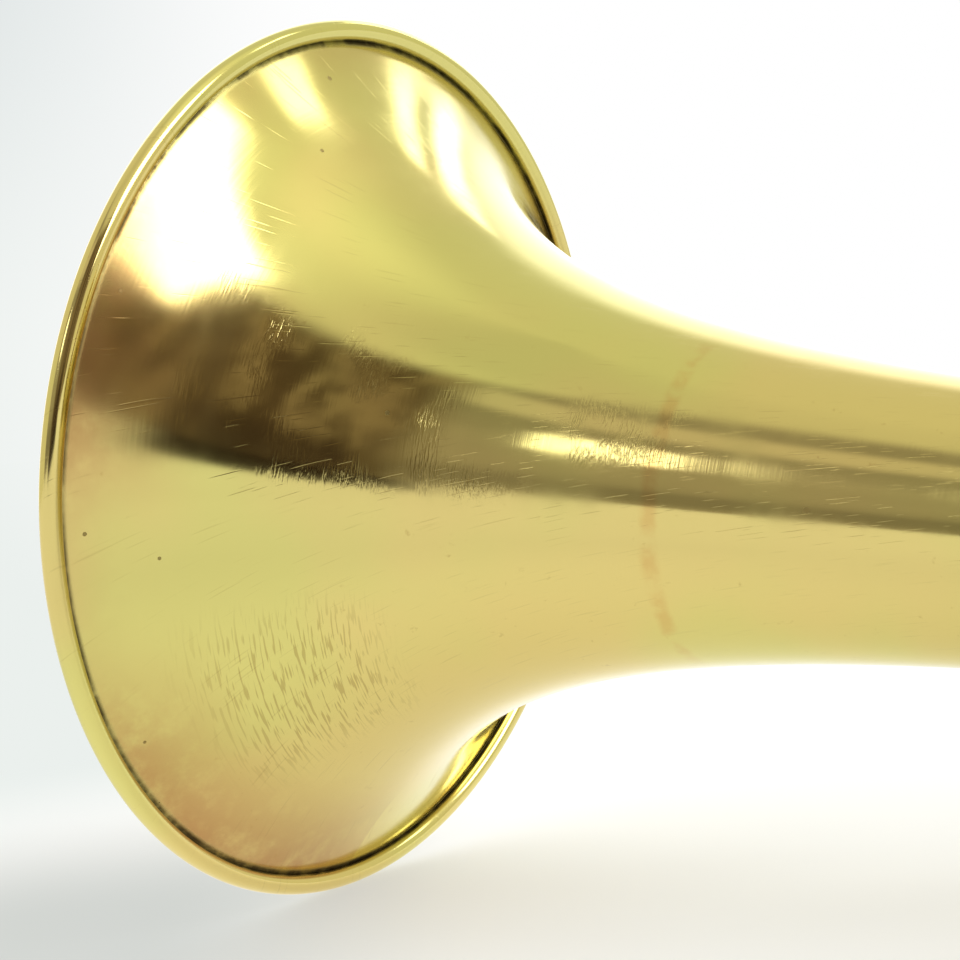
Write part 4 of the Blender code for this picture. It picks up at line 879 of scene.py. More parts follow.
class StageSettings(bpy.types.PropertyGroup):
    """Camera and light."""

    lens: FloatProperty(name="Lens", description="Focal length in millimetres", default=85.0, subtype="NONE")
    camera_offset: FloatVectorProperty(
        name="Camera place",
        description="Camera's place, measured from the middle of the bell's rim",
        default=(0.19848, -0.25370, 0.00701), subtype="TRANSLATION", unit="LENGTH",
    )
    heading: FloatProperty(
        name="Heading", description="Way the camera looks, from +Y toward -X",
        default=math.radians(34.98), unit="ROTATION",
    )
    tilt: FloatProperty(
        name="Tilt", description="How far the camera looks down", default=math.radians(2.0), unit="ROTATION"
    )
    roll: FloatProperty(
        name="Roll", description="How far the camera leans to its right",
        default=math.radians(5.34), unit="ROTATION",
    )
    softbox: FloatProperty(
        name="Softbox", description="Strength of the softbox beside the bell", default=7.0, min=0.0
    )
    ceiling: FloatProperty(
        name="Ceiling", description="Strength of the pale ceiling", default=0.88, min=0.0
    )
    backdrop: FloatProperty(
        name="Backdrop", description="Strength of the lit backdrop behind the bell", default=1.7, min=0.0
    )
    table_glow: FloatProperty(
        name="Table glow", description="Light that the opal table gives off", default=0.47, min=0.0
    )


# Operators


class TRUMPET_OT_stage(bpy.types.Operator):
    """Build the floor, the light and the camera"""

    bl_idname = "trumpet.stage"
    bl_label = "Stage"

    def execute(self, context):
        self.floor(context)
        self.world(context)
        self.camera(context)
        context.scene.view_settings.view_transform = "Standard"
        context.scene.view_settings.look = "None"
        return {"FINISHED"}

    def floor(self, context):
        mesh = bpy.data.meshes.new("floor")
        shape = bmesh.new()
        bmesh.ops.create_grid(shape, x_segments=24, y_segments=24, size=6.0)
        shape.to_mesh(mesh)
        shape.free()
        mesh.materials.append(surface("opal_acrylic_lit_sheet"))
        floor = bpy.data.objects.new("floor", mesh)
        context.scene.collection.objects.link(floor)

    def world(self, context):
        stage = context.scene.trumpet_stage
        world = bpy.data.worlds.new("studio")
        context.scene.world = world
        world.use_nodes = True
        tree = world.node_tree
        tree.nodes.clear()
        way = node(tree, "ShaderNodeTexCoord").outputs["Generated"]
        axes = node(tree, "ShaderNodeSeparateXYZ", {0: way}).outputs
        turn = node(tree, "ShaderNodeMath", {0: axes[0], 1: axes[1]}, operation="ARCTAN2").outputs[0]
        around = node(tree, "ShaderNodeMath", {0: turn, 1: 180 / math.pi}, operation="MULTIPLY").outputs[0]
        rise = node(tree, "ShaderNodeMath", {0: axes[2]}, operation="ARCSINE").outputs[0]
        height = node(tree, "ShaderNodeMath", {0: rise, 1: 180 / math.pi}, operation="MULTIPLY").outputs[0]
        # The same bearing, counted from 0 to 360, for what lies round the far side
        behind = node(tree, "ShaderNodeMath", {0: around, 1: 0.0}, operation="LESS_THAN").outputs[0]
        full = node(
            tree, "ShaderNodeMath", {0: behind, 1: 360.0, 2: around}, operation="MULTIPLY_ADD"
        ).outputs[0]

        # A pale ceiling, brightest over the softbox and dimmest over the camera
        bright = product(
            tree, band(tree, full, 48.0, 104.0, 62.0), band(tree, height, 40.0, 74.0, 34.0)
        )
        dim = product(
            tree, band(tree, full, 120.0, 205.0, 60.0), band(tree, height, 56.0, 95.0, 14.0)
        )
        level = total(tree, stage.ceiling, product(tree, bright, 0.38), product(tree, dim, -0.10))
        rays = node(tree, "ShaderNodeLightPath").outputs
        warm = tinted(tree, rays["Is Glossy Ray"], (1.0, 1.0, 0.985, 1.0), (1.0, 0.985, 0.79, 1.0))
        light = node(
            tree, "ShaderNodeVectorMath", {0: warm, "Scale": level}, operation="SCALE"
        ).outputs[0]
        # The dark room on the camera's side: its top edge is higher the further round it lies
        slope = node(
            tree, "ShaderNodeMath", {0: full, 1: -0.30, 2: height}, operation="MULTIPLY_ADD"
        ).outputs[0]
        room = product(
            tree, band(tree, full, 99.0, 203.0, 8.0), masked(tree, slope, 0.0, 7.0, 1.0, 0.0),
        )
        shelves = node(
            tree, "ShaderNodeTexNoise",
            {
                "Vector": node(
                    tree, "ShaderNodeCombineXYZ", {0: full, 1: product(tree, height, 0.35)},
                ).outputs[0],
                "Scale": 0.16, "Detail": 2.0, "Roughness": 0.6,
            },
        ).outputs["Fac"]
        dark = tinted(tree, masked(tree, shelves, 0.40, 0.62), linear("4E3C2E"), linear("978672"))
        deep = product(
            tree, band(tree, full, 124.0, 158.0, 16.0), band(tree, height, -12.0, 10.0, 10.0)
        )
        dark = tinted(tree, product(tree, deep, 0.9), dark, linear("331F18"))
        # Its far wall is lighter, with level shelves
        wall_level = total(
            tree, 0.31, product(tree, band(tree, height, 41.0, 51.0, 6.0), 0.38),
            product(tree, band(tree, height, 11.0, 29.0, 8.0), 0.07), product(tree, shelves, 0.10),
            product(tree, band(tree, height, 1.0, 9.0, 4.0), -0.10),
        )
        wall = node(
            tree, "ShaderNodeVectorMath", {0: (1.0, 0.93, 0.80), "Scale": wall_level}, operation="SCALE"
        ).outputs[0]
        dark = tinted(tree, band(tree, full, 163.0, 210.0, 10.0), dark, wall)
        light = tinted(tree, product(tree, room, 0.97), light, dark)
        # Lights: (bearing from, to, height from, to, softness, strength)
        lamps = (
            (65.0, 108.0, 22.0, 42.0, 5.0, stage.softbox), (-7.0, 1.0, 22.0, 42.0, 4.0, 4.0),
            (7.0, 13.0, 24.0, 42.0, 4.0, 4.0), (39.0, 51.0, 38.0, 46.0, 4.0, 4.0),
            (177.0, 187.0, 24.5, 33.5, 3.0, 3.8), (-75.0, -8.0, -40.0, 46.0, 16.0, stage.backdrop),
        )
        for first, last, low, high, soft, strength in lamps:
            bearing = around if first < 30 else full
            spot = product(
                tree, band(tree, bearing, first, last, soft), band(tree, height, low, high, soft)
            )
            light = tinted(tree, spot, light, (strength, strength, strength, 1.0))
        # Camera rays see the pale backdrop, with a painted cool grey shade on the bell's side. The room and its
        # lights above show only in the metal
        light = tinted(tree, rays["Is Camera Ray"], light, backdrop_with_painted_shade(tree, around, height))
        shade = node(tree, "ShaderNodeBackground", {"Color": light, "Strength": 1.0})
        node(tree, "ShaderNodeOutputWorld", {"Surface": shade.outputs[0]})

    def camera(self, context):
        stage = context.scene.trumpet_stage
        data = bpy.data.cameras.new("camera")
        data.lens = stage.lens
        data.sensor_width = 36.0
        data.clip_start = 0.01
        data.clip_end = 100.0
        camera = bpy.data.objects.new("camera", data)
        context.scene.collection.objects.link(camera)
        context.scene.camera = camera
        ahead = Vector(
            (
                -math.sin(stage.heading) * math.cos(stage.tilt),
                math.cos(stage.heading) * math.cos(stage.tilt), -math.sin(stage.tilt),
            )
        )
        right = ahead.cross(Z).normalized()
        up = right.cross(ahead)
        rolled = right * math.cos(stage.roll) - up * math.sin(stage.roll)
        turn = turn_of(rolled, rolled.cross(ahead), -ahead)
        place = BELL.translation + Vector(stage.camera_offset)
        camera.matrix_world = Matrix.Translation(place) @ turn


def bell_radius(sizes, behind):
    """The bell's outside radius at a distance behind its rim."""
    stem = sizes.stem_radius - sizes.taper * behind
    edge = sizes.rim_radius - 2 * sizes.wire_radius - GAP - sizes.stem_radius
    return stem + edge * (sizes.flare_length / (behind + sizes.flare_length)) ** sizes.flare_power


class TRUMPET_OT_bell(bpy.types.Operator):
    """Build the bell flare and the wire in its rim"""

    bl_idname = "trumpet.bell"
    bl_label = "Bell"

    rings = 150
    steps = 256

    def execute(self, context):
        sizes = context.scene.trumpet_bell
        outer = []
        for ring in range(self.rings + 1):
            behind = sizes.length * (ring / self.rings) ** 1.7
            outer.append((bell_radius(sizes, behind), -behind))
        inner = []
        for index, (radius, height) in enumerate(outer):
            ahead = Vector(outer[max(index - 1, 0)])
            back = Vector(outer[min(index + 1, self.rings)])
            along = (back - ahead).normalized()
            inner.append((radius + along.y * sizes.wall, height - along.x * sizes.wall))
        edge_radius = sizes.rim_radius - 2 * sizes.wire_radius + 0.25 * MM
        lip = [(edge_radius - 0.05 * MM, 0.75 * MM), (edge_radius, 0.28 * MM)]
        profile = lip + outer + inner[::-1]
        Shape().lathe(profile, (0, 0, 0), X, steps=self.steps).piece(
            "bell_flare", BELL_BRASS, "instrument", place=BELL
        )
        wire_centre = sizes.rim_radius - sizes.wire_radius
        Shape().lathe(
            round_section(sizes.wire_radius, wire_centre, sides=28), (0, 0, 0), X, steps=self.steps
        ).piece("bell_rim_wire", BELL_BRASS, "instrument", place=BELL)
        return {"FINISHED"}


class TRUMPET_OT_bow(bpy.types.Operator):
    """Build the bell bow and its ferrule"""

    bl_idname = "trumpet.bow"
    bl_label = "Bell bow"

    def execute(self, context):
        sizes = context.scene.trumpet_bell
        tail_x = BELL_FRONT - sizes.length
        half = 6.0 * MM
        upper = Vector((tail_x - GAP - half, BELL_Y, UPPER_Z))
        lower = Vector((tail_x - GAP - half, 0, LOWER_Z))
        path = hairpin(upper, lower, -X, half)[:-4]
        path.append(Vector((VALVES["1"] - 2 * CASING, 0, LOWER_Z)))
        path.append(Vector((VALVES["1"] - CASING, 0, LOWER_Z)))
        bow = Shape().sweep(path, SLEEVE, WALL, copes=(None, VALVES["1"]))
        bow.piece("bell_bow", BRASS, "instrument")
        inner = bell_radius(sizes, sizes.length - half) + 0.05 * MM
        outer = inner + 1.05 * MM
        profile = rounded(
            [
                (inner, half), (outer - 0.2 * MM, half), (outer, half - 1.5 * MM),
                (outer - 0.35 * MM, half - 2.0 * MM), (outer - 0.35 * MM, 2.0 * MM - half),
                (outer, 1.5 * MM - half), (outer - 0.2 * MM, -half), (inner, -half),
            ],
            0.3 * MM, closed=True,
        )
        Shape().lathe(profile, (tail_x, BELL_Y, UPPER_Z), X, steps=72).piece(
            "bell_bow_ferrule", NICKEL, "instrument"
        )
        return {"FINISHED"}


class TRUMPET_OT_casings(bpy.types.Operator):
    """Build the valve casings, the tubes between them and their screw caps"""

    bl_idname = "trumpet.casings"
    bl_label = "Valve casings and caps"

    def execute(self, context):
        for label, x in VALVES.items():
            self.casing(label, x)
            self.caps(label, x)
        for rear, front in (("1", "2"), ("2", "3")):
            path = [
                Vector((VALVES[rear] + CASING, 0, LOWER_Z)),
                Vector((VALVES[front] - CASING, 0, LOWER_Z)),
            ]
            knuckle = Shape().sweep(path, SLEEVE, WALL, copes=(VALVES[rear], VALVES[front]))
            name = f"knuckle_{rear}_{front}"
            knuckle.piece(name, BRASS, "instrument")
        return {"FINISHED"}

    def casing(self, label, x):
        profile = rounded(
            [
                (CASING_BORE, CASING_TOP), (CASING, CASING_TOP), (CASING, CASING_BOTTOM),
                (CASING_BORE, CASING_BOTTOM),
            ],
            0.25 * MM, closed=True,
        )
        shape = Shape().lathe(profile, (x, 0, 0), Z, steps=96)
        shape.piece(f"valve_casing_{label}", BRASS, "instrument")
        # A turned collar where the upper casing is soldered to the lower one
        band_profile = [
            (CASING - 0.1 * MM, 3.0 * MM), (CASING + 0.5 * MM, 2.2 * MM),
            (CASING + 0.75 * MM, 0.8 * MM), (CASING + 0.75 * MM, -0.8 * MM),
            (CASING + 0.5 * MM, -2.2 * MM), (CASING - 0.1 * MM, -3.0 * MM),
        ]
        ring = rounded(band_profile, 0.4 * MM, closed=True)
        Shape().lathe(ring, (x, 0, CASING_TOP - COLLAR_DROP), Z, steps=96).piece(
            f"casing_collar_{label}", NICKEL, "instrument", extra=True
        )

    def caps(self, label, x):
        inner = CASING + 0.15 * MM
        top = rounded(
            [
                (3.3 * MM, 3.2 * MM), (5.6 * MM, 3.2 * MM), (6.4 * MM, 2.75 * MM),
                (CAP - 1.6 * MM, 2.0 * MM), (CAP - 0.6 * MM, 1.2 * MM), (CAP, 0.4 * MM),
                (CAP, -0.6 * MM), (CAP - 0.35 * MM, -0.9 * MM), (CAP - 0.02 * MM, -1.3 * MM),
                (CAP - 0.02 * MM, -4.6 * MM), (CAP - 0.35 * MM, -5.0 * MM), (CAP, -5.3 * MM),
                (CAP - 0.1 * MM, -6.0 * MM), (inner, -6.0 * MM), (inner, 0.3 * MM),
                (3.3 * MM, 0.3 * MM),
            ],
            0.25 * MM, closed=True,
        )
        flutes = (-4.7 * MM, -1.2 * MM, 44, 0.42 * MM)
        Shape().lathe(top, (x, 0, CASING_TOP), Z, steps=264, flutes=flutes).piece(
            f"top_cap_{label}", BRASS, "instrument"
        )
        bottom = rounded(
            [
                (2.0 * MM, 5.5 * MM), (CAP - 3.4 * MM, 5.5 * MM), (CAP - 2.0 * MM, 5.1 * MM),
                (CAP - 0.7 * MM, 3.9 * MM), (CAP, 2.2 * MM), (CAP, -0.6 * MM),
                (CAP - 0.35 * MM, -0.9 * MM), (CAP - 0.02 * MM, -1.3 * MM),
                (CAP - 0.02 * MM, -4.6 * MM), (CAP - 0.35 * MM, -5.0 * MM), (CAP, -5.3 * MM),
                (CAP - 0.1 * MM, -6.0 * MM), (inner, -6.0 * MM), (inner, 0.3 * MM),
                (CASING_BORE, 0.3 * MM), (CASING_BORE, 4.1 * MM), (2.0 * MM, 4.1 * MM),
            ],
            0.25 * MM, closed=True,
        )
        Shape().lathe(bottom, (x, 0, CASING_BOTTOM), -Z, steps=264, flutes=flutes).piece(
            f"bottom_cap_{label}", BRASS, "instrument"
        )


class TRUMPET_OT_valves(bpy.types.Operator):
    """Build the valve stems, finger buttons, pearl inlays and felts, and finish the pistons"""

    bl_idname = "trumpet.valves"
    bl_label = "Valves"

    def execute(self, context):
        for label, x in VALVES.items():
            self.stem_and_button(label, x, VALVE_BODIES[label])
            for name, material in (
                (f"piston_{label}", NICKEL), (f"piston_spring_{label}", STEEL),
                (f"valve_guide_{label}", BRASS),
            ):
                piece = frame["nodes"][name]
                piece.data.materials.clear()
                piece.data.materials.append(surface(material))
        return {"FINISHED"}

    def stem_and_button(self, label, x, body):
        felt_bottom = CASING_TOP + 3.2 * MM + STROKE + GAP
        button_bottom = felt_bottom + 2.0 * MM + GAP
        button_top = button_bottom + 6.0 * MM
        stem_top = button_bottom + 2.9 * MM
        barrel_top = 47.0 * MM
        barrel, lug = 8.4 * MM, 7.0 * MM
        stem = rounded(
            [
                (0, stem_top), (2.2 * MM, stem_top), (2.2 * MM, barrel_top + 1.6 * MM),
                (barrel, barrel_top + 1.6 * MM), (barrel, barrel_top + GAP),
                (lug, barrel_top + GAP), (lug, barrel_top - 3.0 * MM), (0, barrel_top - 3.0 * MM),
            ],
            0.3 * MM,
        )
        Shape().lathe(stem, (x, 0, 0), Z, steps=64, closed=False).piece(
            f"valve_stem_{label}", NICKEL, body
        )
        seat = button_top - 1.3 * MM
        pearl = 6.05 * MM
        button = rounded(
            [
                (0, seat), (6.15 * MM, seat), (6.15 * MM, button_top - 0.15 * MM),
                (6.7 * MM, button_top), (7.3 * MM, button_top - 0.3 * MM),
                (7.6 * MM, button_top - 1.1 * MM), (7.45 * MM, button_top - 2.0 * MM),
                (5.2 * MM, button_bottom + 1.5 * MM), (5.0 * MM, button_bottom + 0.8 * MM),
                (5.3 * MM, button_bottom + 0.4 * MM), (5.3 * MM, button_bottom),
                (2.5 * MM, button_bottom), (2.5 * MM, button_bottom + 3.2 * MM),
                (0, button_bottom + 3.2 * MM),
            ],
            0.35 * MM,
        )
        Shape().lathe(button, (x, 0, 0), Z, steps=96, closed=False).piece(
            f"finger_button_{label}", BRASS, body
        )
        turns = [math.pi / 2 * part / 8 for part in range(9)]
        inlay = [(pearl * math.sin(t), button_top - 0.35 * MM * (1 - math.cos(t))) for t in turns]
        inlay += [(pearl, seat + 0.05 * MM), (0, seat + 0.05 * MM)]
        Shape().lathe(inlay, (x, 0, 0), Z, steps=64, closed=False).piece(
            f"button_inlay_{label}", "mother_of_pearl_polished", body
        )
        felt = rounded(
            [
                (2.4 * MM, felt_bottom + 2.1 * MM), (6.1 * MM, felt_bottom + 2.1 * MM),
                (6.3 * MM, felt_bottom + 1.0 * MM), (6.1 * MM, felt_bottom),
                (2.4 * MM, felt_bottom),
            ],
            0.5 * MM, closed=True,
        )
        Shape().lathe(felt, (x, 0, 0), Z, steps=90).roughen(0.14 * MM, 0.7 * MM).piece(
            f"button_felt_{label}", "wool_felt_pressed", body
        )


class TRUMPET_OT_mouthpiece(bpy.types.Operator):
    """Build the mouthpiece, its receiver and the leadpipe"""

    bl_idname = "trumpet.mouthpiece"
    bl_label = "Mouthpiece and leadpipe"

    def execute(self, context):
        receiver_end = -236.0 * MM
        seat = 24.0 * MM
        length = 87.0 * MM
        tip = Vector((receiver_end + seat, PIPE_Y, UPPER_Z))
        rim, cup, shank = 13.5 * MM, 8.3 * MM, 5.4 * MM
        width = rim - cup
        outside = flowing(
            [
                (cup + 0.45 * width, length), (cup + 0.80 * width, length - 0.5 * MM),
                (rim, length - 2.2 * MM), (rim, length - 4.6 * MM),
                (rim - 0.5 * MM, length - 6.0 * MM),
            ]
        )
        outside += flowing(
            [
                (rim - 2.2 * MM, length - 7.0 * MM), (rim - 2.3 * MM, length - 10.0 * MM),
                (rim - 2.9 * MM, length - 14.0 * MM), (rim - 4.8 * MM, length - 18.5 * MM),
                (shank + 2.6 * MM, length - 21.0 * MM), (shank + 1.5 * MM, length - 23.5 * MM),
                (shank + 0.7 * MM, length - 28.0 * MM), (shank + 0.6 * MM, length - 31.0 * MM),
                (shank + 0.95 * MM, length - 35.0 * MM), (shank + 0.8 * MM, length - 38.0 * MM),
                (shank + 0.2 * MM, length - 42.0 * MM), (shank, seat), (4.8 * MM, 0),
            ]
        )
        inside = [(4.1 * MM, 0), (1.9 * MM, length - 23.5 * MM), (1.9 * MM, length - 13.5 * MM)]
        inside += flowing(
            [
                (3.3 * MM, length - 10.7 * MM), (6.1 * MM, length - 7.7 * MM),
                (7.8 * MM, length - 3.5 * MM), (cup, length - 1.4 * MM),
                (cup + 0.15 * width, length - 0.3 * MM),
            ]
        )
        Shape().lathe(outside + inside, tip, -X, steps=128).piece(
            "mouthpiece", SILVER, "loose_mouthpiece"
        )
        self.receiver(receiver_end)
        path = [
            Vector((receiver_end + seat + 3.0 * MM + 219.0 * MM * part / 24, PIPE_Y, UPPER_Z))
            for part in range(25)
        ]
        pipe = Shape().sweep(path, lambda share: 5.0 * MM * (1 - share) + LEG * share, 0.6 * MM)
        pipe.piece("leadpipe", BRASS, "instrument")
        return {"FINISHED"}

    def receiver(self, end_x):
        length = 38.0 * MM
        mouth, throat, pipe, outer = 5.7 * MM, 5.1 * MM, 5.2 * MM, 7.0 * MM
        profile = rounded(
            [
                (mouth, length), (outer - 0.5 * MM, length), (outer, length - 0.8 * MM),
                (outer, length - 2.2 * MM), (outer - 0.45 * MM, length - 2.6 * MM),
                (outer - 0.45 * MM, length - 3.2 * MM), (outer - 0.1 * MM, length - 3.6 * MM),
                (outer - 0.1 * MM, length - 4.6 * MM), (outer - 0.8 * MM, length - 5.6 * MM),
                (outer - 0.55 * MM, 6.0 * MM), (outer - 0.3 * MM, 5.4 * MM),
                (outer - 0.3 * MM, 4.2 * MM), (outer - 0.7 * MM, 3.4 * MM), (pipe + 0.65 * MM, 0),
                (pipe - 0.15 * MM, 0), (pipe - 0.05 * MM, length - 26.0 * MM),
                (throat, length - 25.7 * MM),
            ],
            0.25 * MM, closed=True,
        )
        origin = (end_x + length, PIPE_Y, UPPER_Z)
        Shape().lathe(profile, origin, -X, steps=96).piece(
            "mouthpiece_receiver", NICKEL, "instrument"
        )


def brace(start, end):
    """A turned brace: a domed flange at each end, a slim waist and a bead in its middle."""
    flange, waist, knob = 3.6 * MM, 1.6 * MM, 2.6 * MM
    length = (end - start).length
    half = [
        (flange, -0.15 * MM), (flange, 0.5 * MM), (flange - 0.8 * MM, 1.0 * MM),
        (waist + 0.5 * MM, 1.5 * MM), (waist, 2.6 * MM),
    ]
    middle = [
        (waist, length / 2 - knob), (knob * 0.85, length / 2 - knob * 0.55), (knob, length / 2),
    ]
    lower = half + (middle if length > 12 * MM else [])
    upper = [(radius, length - height) for radius, height in reversed(lower)]
    if length > 12 * MM:
        upper = upper[1:]
    profile = [(0, -0.15 * MM), *flowing(lower + upper, parts=4), (0, length + 0.15 * MM)]
    return Shape().lathe(profile, start, (end - start).normalized(), steps=48, closed=False)


class TRUMPET_OT_tuning_slide(bpy.types.Operator):
    """Build the main tuning slide with its sleeves and brace"""

    bl_idname = "trumpet.tuning_slide"
    bl_label = "Main tuning slide"

    def execute(self, context):
        bend_x, sleeve_end = 96.0 * MM, 83.5 * MM
        upper = Vector((bend_x, PIPE_Y, UPPER_Z))
        lower = Vector((bend_x, 0, LOWER_Z))
        slide = Shape().sweep(hairpin(upper, lower, X, 50.0 * MM, 36), LEG, WALL, sides=36)
        for corner in (upper, lower):
            end_ring(slide, corner + X * 2.0 * MM, -X, LEG, width=7.0 * MM, proud=0.45 * MM)
        slide.piece("tuning_slide", BRASS, "main_tuning_slide")
        sleeve = Shape().sweep(
            [Vector((22.0 * MM, PIPE_Y, UPPER_Z)), Vector((sleeve_end, PIPE_Y, UPPER_Z))], SLEEVE,
            WALL, sides=36,
        )
        end_ring(sleeve, Vector((22.0 * MM, PIPE_Y, UPPER_Z)), -X, SLEEVE, width=4.0 * MM)
        sleeve.piece("upper_tuning_sleeve", BRASS, "instrument")
        start = Vector((VALVES["3"] + CASING, 0, LOWER_Z))
        Shape().sweep(
            [start, start + X * 8 * MM, Vector((sleeve_end, 0, LOWER_Z))], SLEEVE, WALL, sides=36,
            copes=(VALVES["3"], None),
        ).piece("lower_tuning_sleeve", BRASS, "instrument")
        for name, y, z in (("upper", PIPE_Y, UPPER_Z), ("lower", 0, LOWER_Z)):
            end_ring(Shape(), Vector((sleeve_end, y, z)), X, SLEEVE).piece(
                f"{name}_sleeve_ring", NICKEL, "instrument", extra=True
            )
        across = (lower - upper).normalized()
        shift = Vector(((sleeve_end - bend_x) / 2, 0, 0))
        inset = across * (LEG + GAP)
        brace(upper + shift + inset, lower + shift - inset).piece(
            "tuning_slide_brace", BRASS, "main_tuning_slide"
        )
        return {"FINISHED"}


class TRUMPET_OT_water_key(bpy.types.Operator):
    """Build the water key: saddle, lever, hinge pin and cork"""

    bl_idname = "trumpet.water_key"
    bl_label = "Water key"

    def execute(self, context):
        plate_top = LOWER_Z - LEG - GAP
        plate_bottom = plate_top - 1.2 * MM
        pivot = Vector((87.5 * MM, 0, LOWER_Z - 11.2 * MM))
        nipple_x = 97.5 * MM
        saddle = Shape()
        half_width = 4.2 * MM
        # The foot is dished to the tube that it is soldered to
        foot = []
        for part in range(13):
            y = half_width * (2 * part / 12 - 1)
            foot.append((y, LOWER_Z - math.sqrt((LEG + 0.02 * MM) ** 2 - y * y)))
        foot += [(half_width, plate_bottom), (-half_width, plate_bottom)]
        start, end = pivot.x - 2.1 * MM, nipple_x + 2.5 * MM
        saddle.extrude(foot, Vector(((start + end) / 2, 0, 0)), Y, Z, end - start, X)
        for side in (1, -1):
            root = plate_bottom - pivot.z + 0.2 * MM
            post = [(-2.1 * MM, root), (2.1 * MM, root)]
            for part in range(9):
                angle = -math.pi * part / 8
                post.append((2.1 * MM * math.cos(angle), 2.1 * MM * math.sin(angle)))
            origin = Vector((pivot.x, side * 3.6 * MM, pivot.z))
            saddle.extrude(post, origin, X, Z, 1.2 * MM, Y)
        nipple = rounded(
            [
                (1.3 * MM, plate_bottom + 0.4 * MM), (3.1 * MM, plate_bottom + 0.4 * MM),
                (2.6 * MM, plate_bottom - 0.5 * MM), (2.5 * MM, plate_bottom - 1.8 * MM),
                (1.3 * MM, plate_bottom - 1.8 * MM),
            ],
            0.2 * MM, closed=True,
        )
        saddle.lathe(nipple, (nipple_x, 0, 0), Z, steps=48)
        saddle.piece("water_key_saddle", BRASS, "main_tuning_slide", bevel=0.18 * MM)
        self.pin(pivot)
        self.lever(pivot, nipple_x, plate_bottom)
        return {"FINISHED"}

    def pin(self, pivot):
        pin = Shape()
        head = rounded(
            [
                (0, 4.95 * MM), (1.5 * MM, 4.95 * MM), (1.5 * MM, 4.15 * MM),
                (0.8 * MM, 4.15 * MM), (0.8 * MM, -4.6 * MM), (0, -4.6 * MM),
            ],
            0.2 * MM,
        )
        pin.lathe(head, pivot, Y, steps=40, closed=False)
        pin.piece("water_key_pin", STEEL, "main_tuning_slide")

    def lever(self, pivot, nipple_x, plate_bottom):
        cork_top = plate_bottom - 1.8 * MM - GAP
        cork = rounded([(0, 0), (2.6 * MM, 0), (2.6 * MM, -1.5 * MM), (0, -1.5 * MM)], 0.25 * MM)
        Shape().lathe(cork, (nipple_x, 0, cork_top), Z, steps=60, closed=False).roughen(
            0.05 * MM, 0.5 * MM
        ).piece("water_key_cork", "natural_cork_cut", "water_key")
        arm_top = cork_top - 1.5 * MM - 0.1 * MM - pivot.z
        lever = Shape()
        # The arm, as a strip that swells to a cup over the cork and to a touch plate at its tail
        outline = [
            (10.0 * MM, arm_top - 0.6 * MM, 2.3 * MM), (5.0 * MM, arm_top - 0.6 * MM, 1.7 * MM),
            (2.0 * MM, -0.2 * MM, 1.9 * MM), (-2.0 * MM, 0.3 * MM, 1.9 * MM),
            (-8.0 * MM, -1.6 * MM, 1.5 * MM), (-15.0 * MM, -4.2 * MM, 1.6 * MM),
            (-19.0 * MM, -5.6 * MM, 2.2 * MM), (-23.0 * MM, -6.1 * MM, 2.5 * MM),
            (-25.8 * MM, -5.9 * MM, 1.2 * MM),
        ]
        line = flowing(outline, parts=5)
        rings = []
        for index, (along, up, half) in enumerate(line):
            ahead = Vector(line[min(index + 1, len(line) - 1)][:2])
            back = Vector(line[max(index - 1, 0)][:2])
            way = (ahead - back).normalized()
            normal = Vector((-way.y, 0, way.x))
            centre = pivot + X * along + Z * up
            places = []
            for step in range(16):
                angle = math.tau * step / 16
                c, s = math.cos(angle), math.sin(angle)
                flat = math.copysign(abs(c) ** 0.5, c) * half
                thick = math.copysign(abs(s) ** 0.7, s) * 0.6 * MM
                places.append(centre + Y * flat + normal * thick)
            rings.append(lever.ring(places))
        lever.join(rings, False)
        lever.faces.append(list(rings[0]))
        lever.faces.append(list(rings[-1]))
        hinge = rounded(
            [(0.95 * MM, 2.6 * MM), (1.9 * MM, 2.6 * MM), (1.9 * MM, -2.6 * MM), (0.95 * MM, -2.6 * MM)],
            0.2 * MM,
            closed=True,
        )
        lever.lathe(hinge, pivot, Y, steps=40)
        cup = rounded(
            [
                (0, arm_top + 0.05 * MM), (2.75 * MM, arm_top + 0.05 * MM),
                (2.75 * MM, arm_top - 0.7 * MM), (1.2 * MM, arm_top - 1.25 * MM),
                (0, arm_top - 1.3 * MM),
            ],
            0.25 * MM,
        )
        lever.lathe(cup, (nipple_x, 0, pivot.z), Z, steps=48, closed=False)
        lever.piece("water_key_lever", BRASS, "water_key")


def sleeve_ends(name, ends, axis):
    """The rings at the mouths of a pair of sleeves."""
    shape = Shape()
    for end in ends:
        end_ring(shape, end, axis, SLEEVE, width=4.0 * MM, proud=0.5 * MM)
    shape.piece(name, NICKEL, "instrument", extra=True)


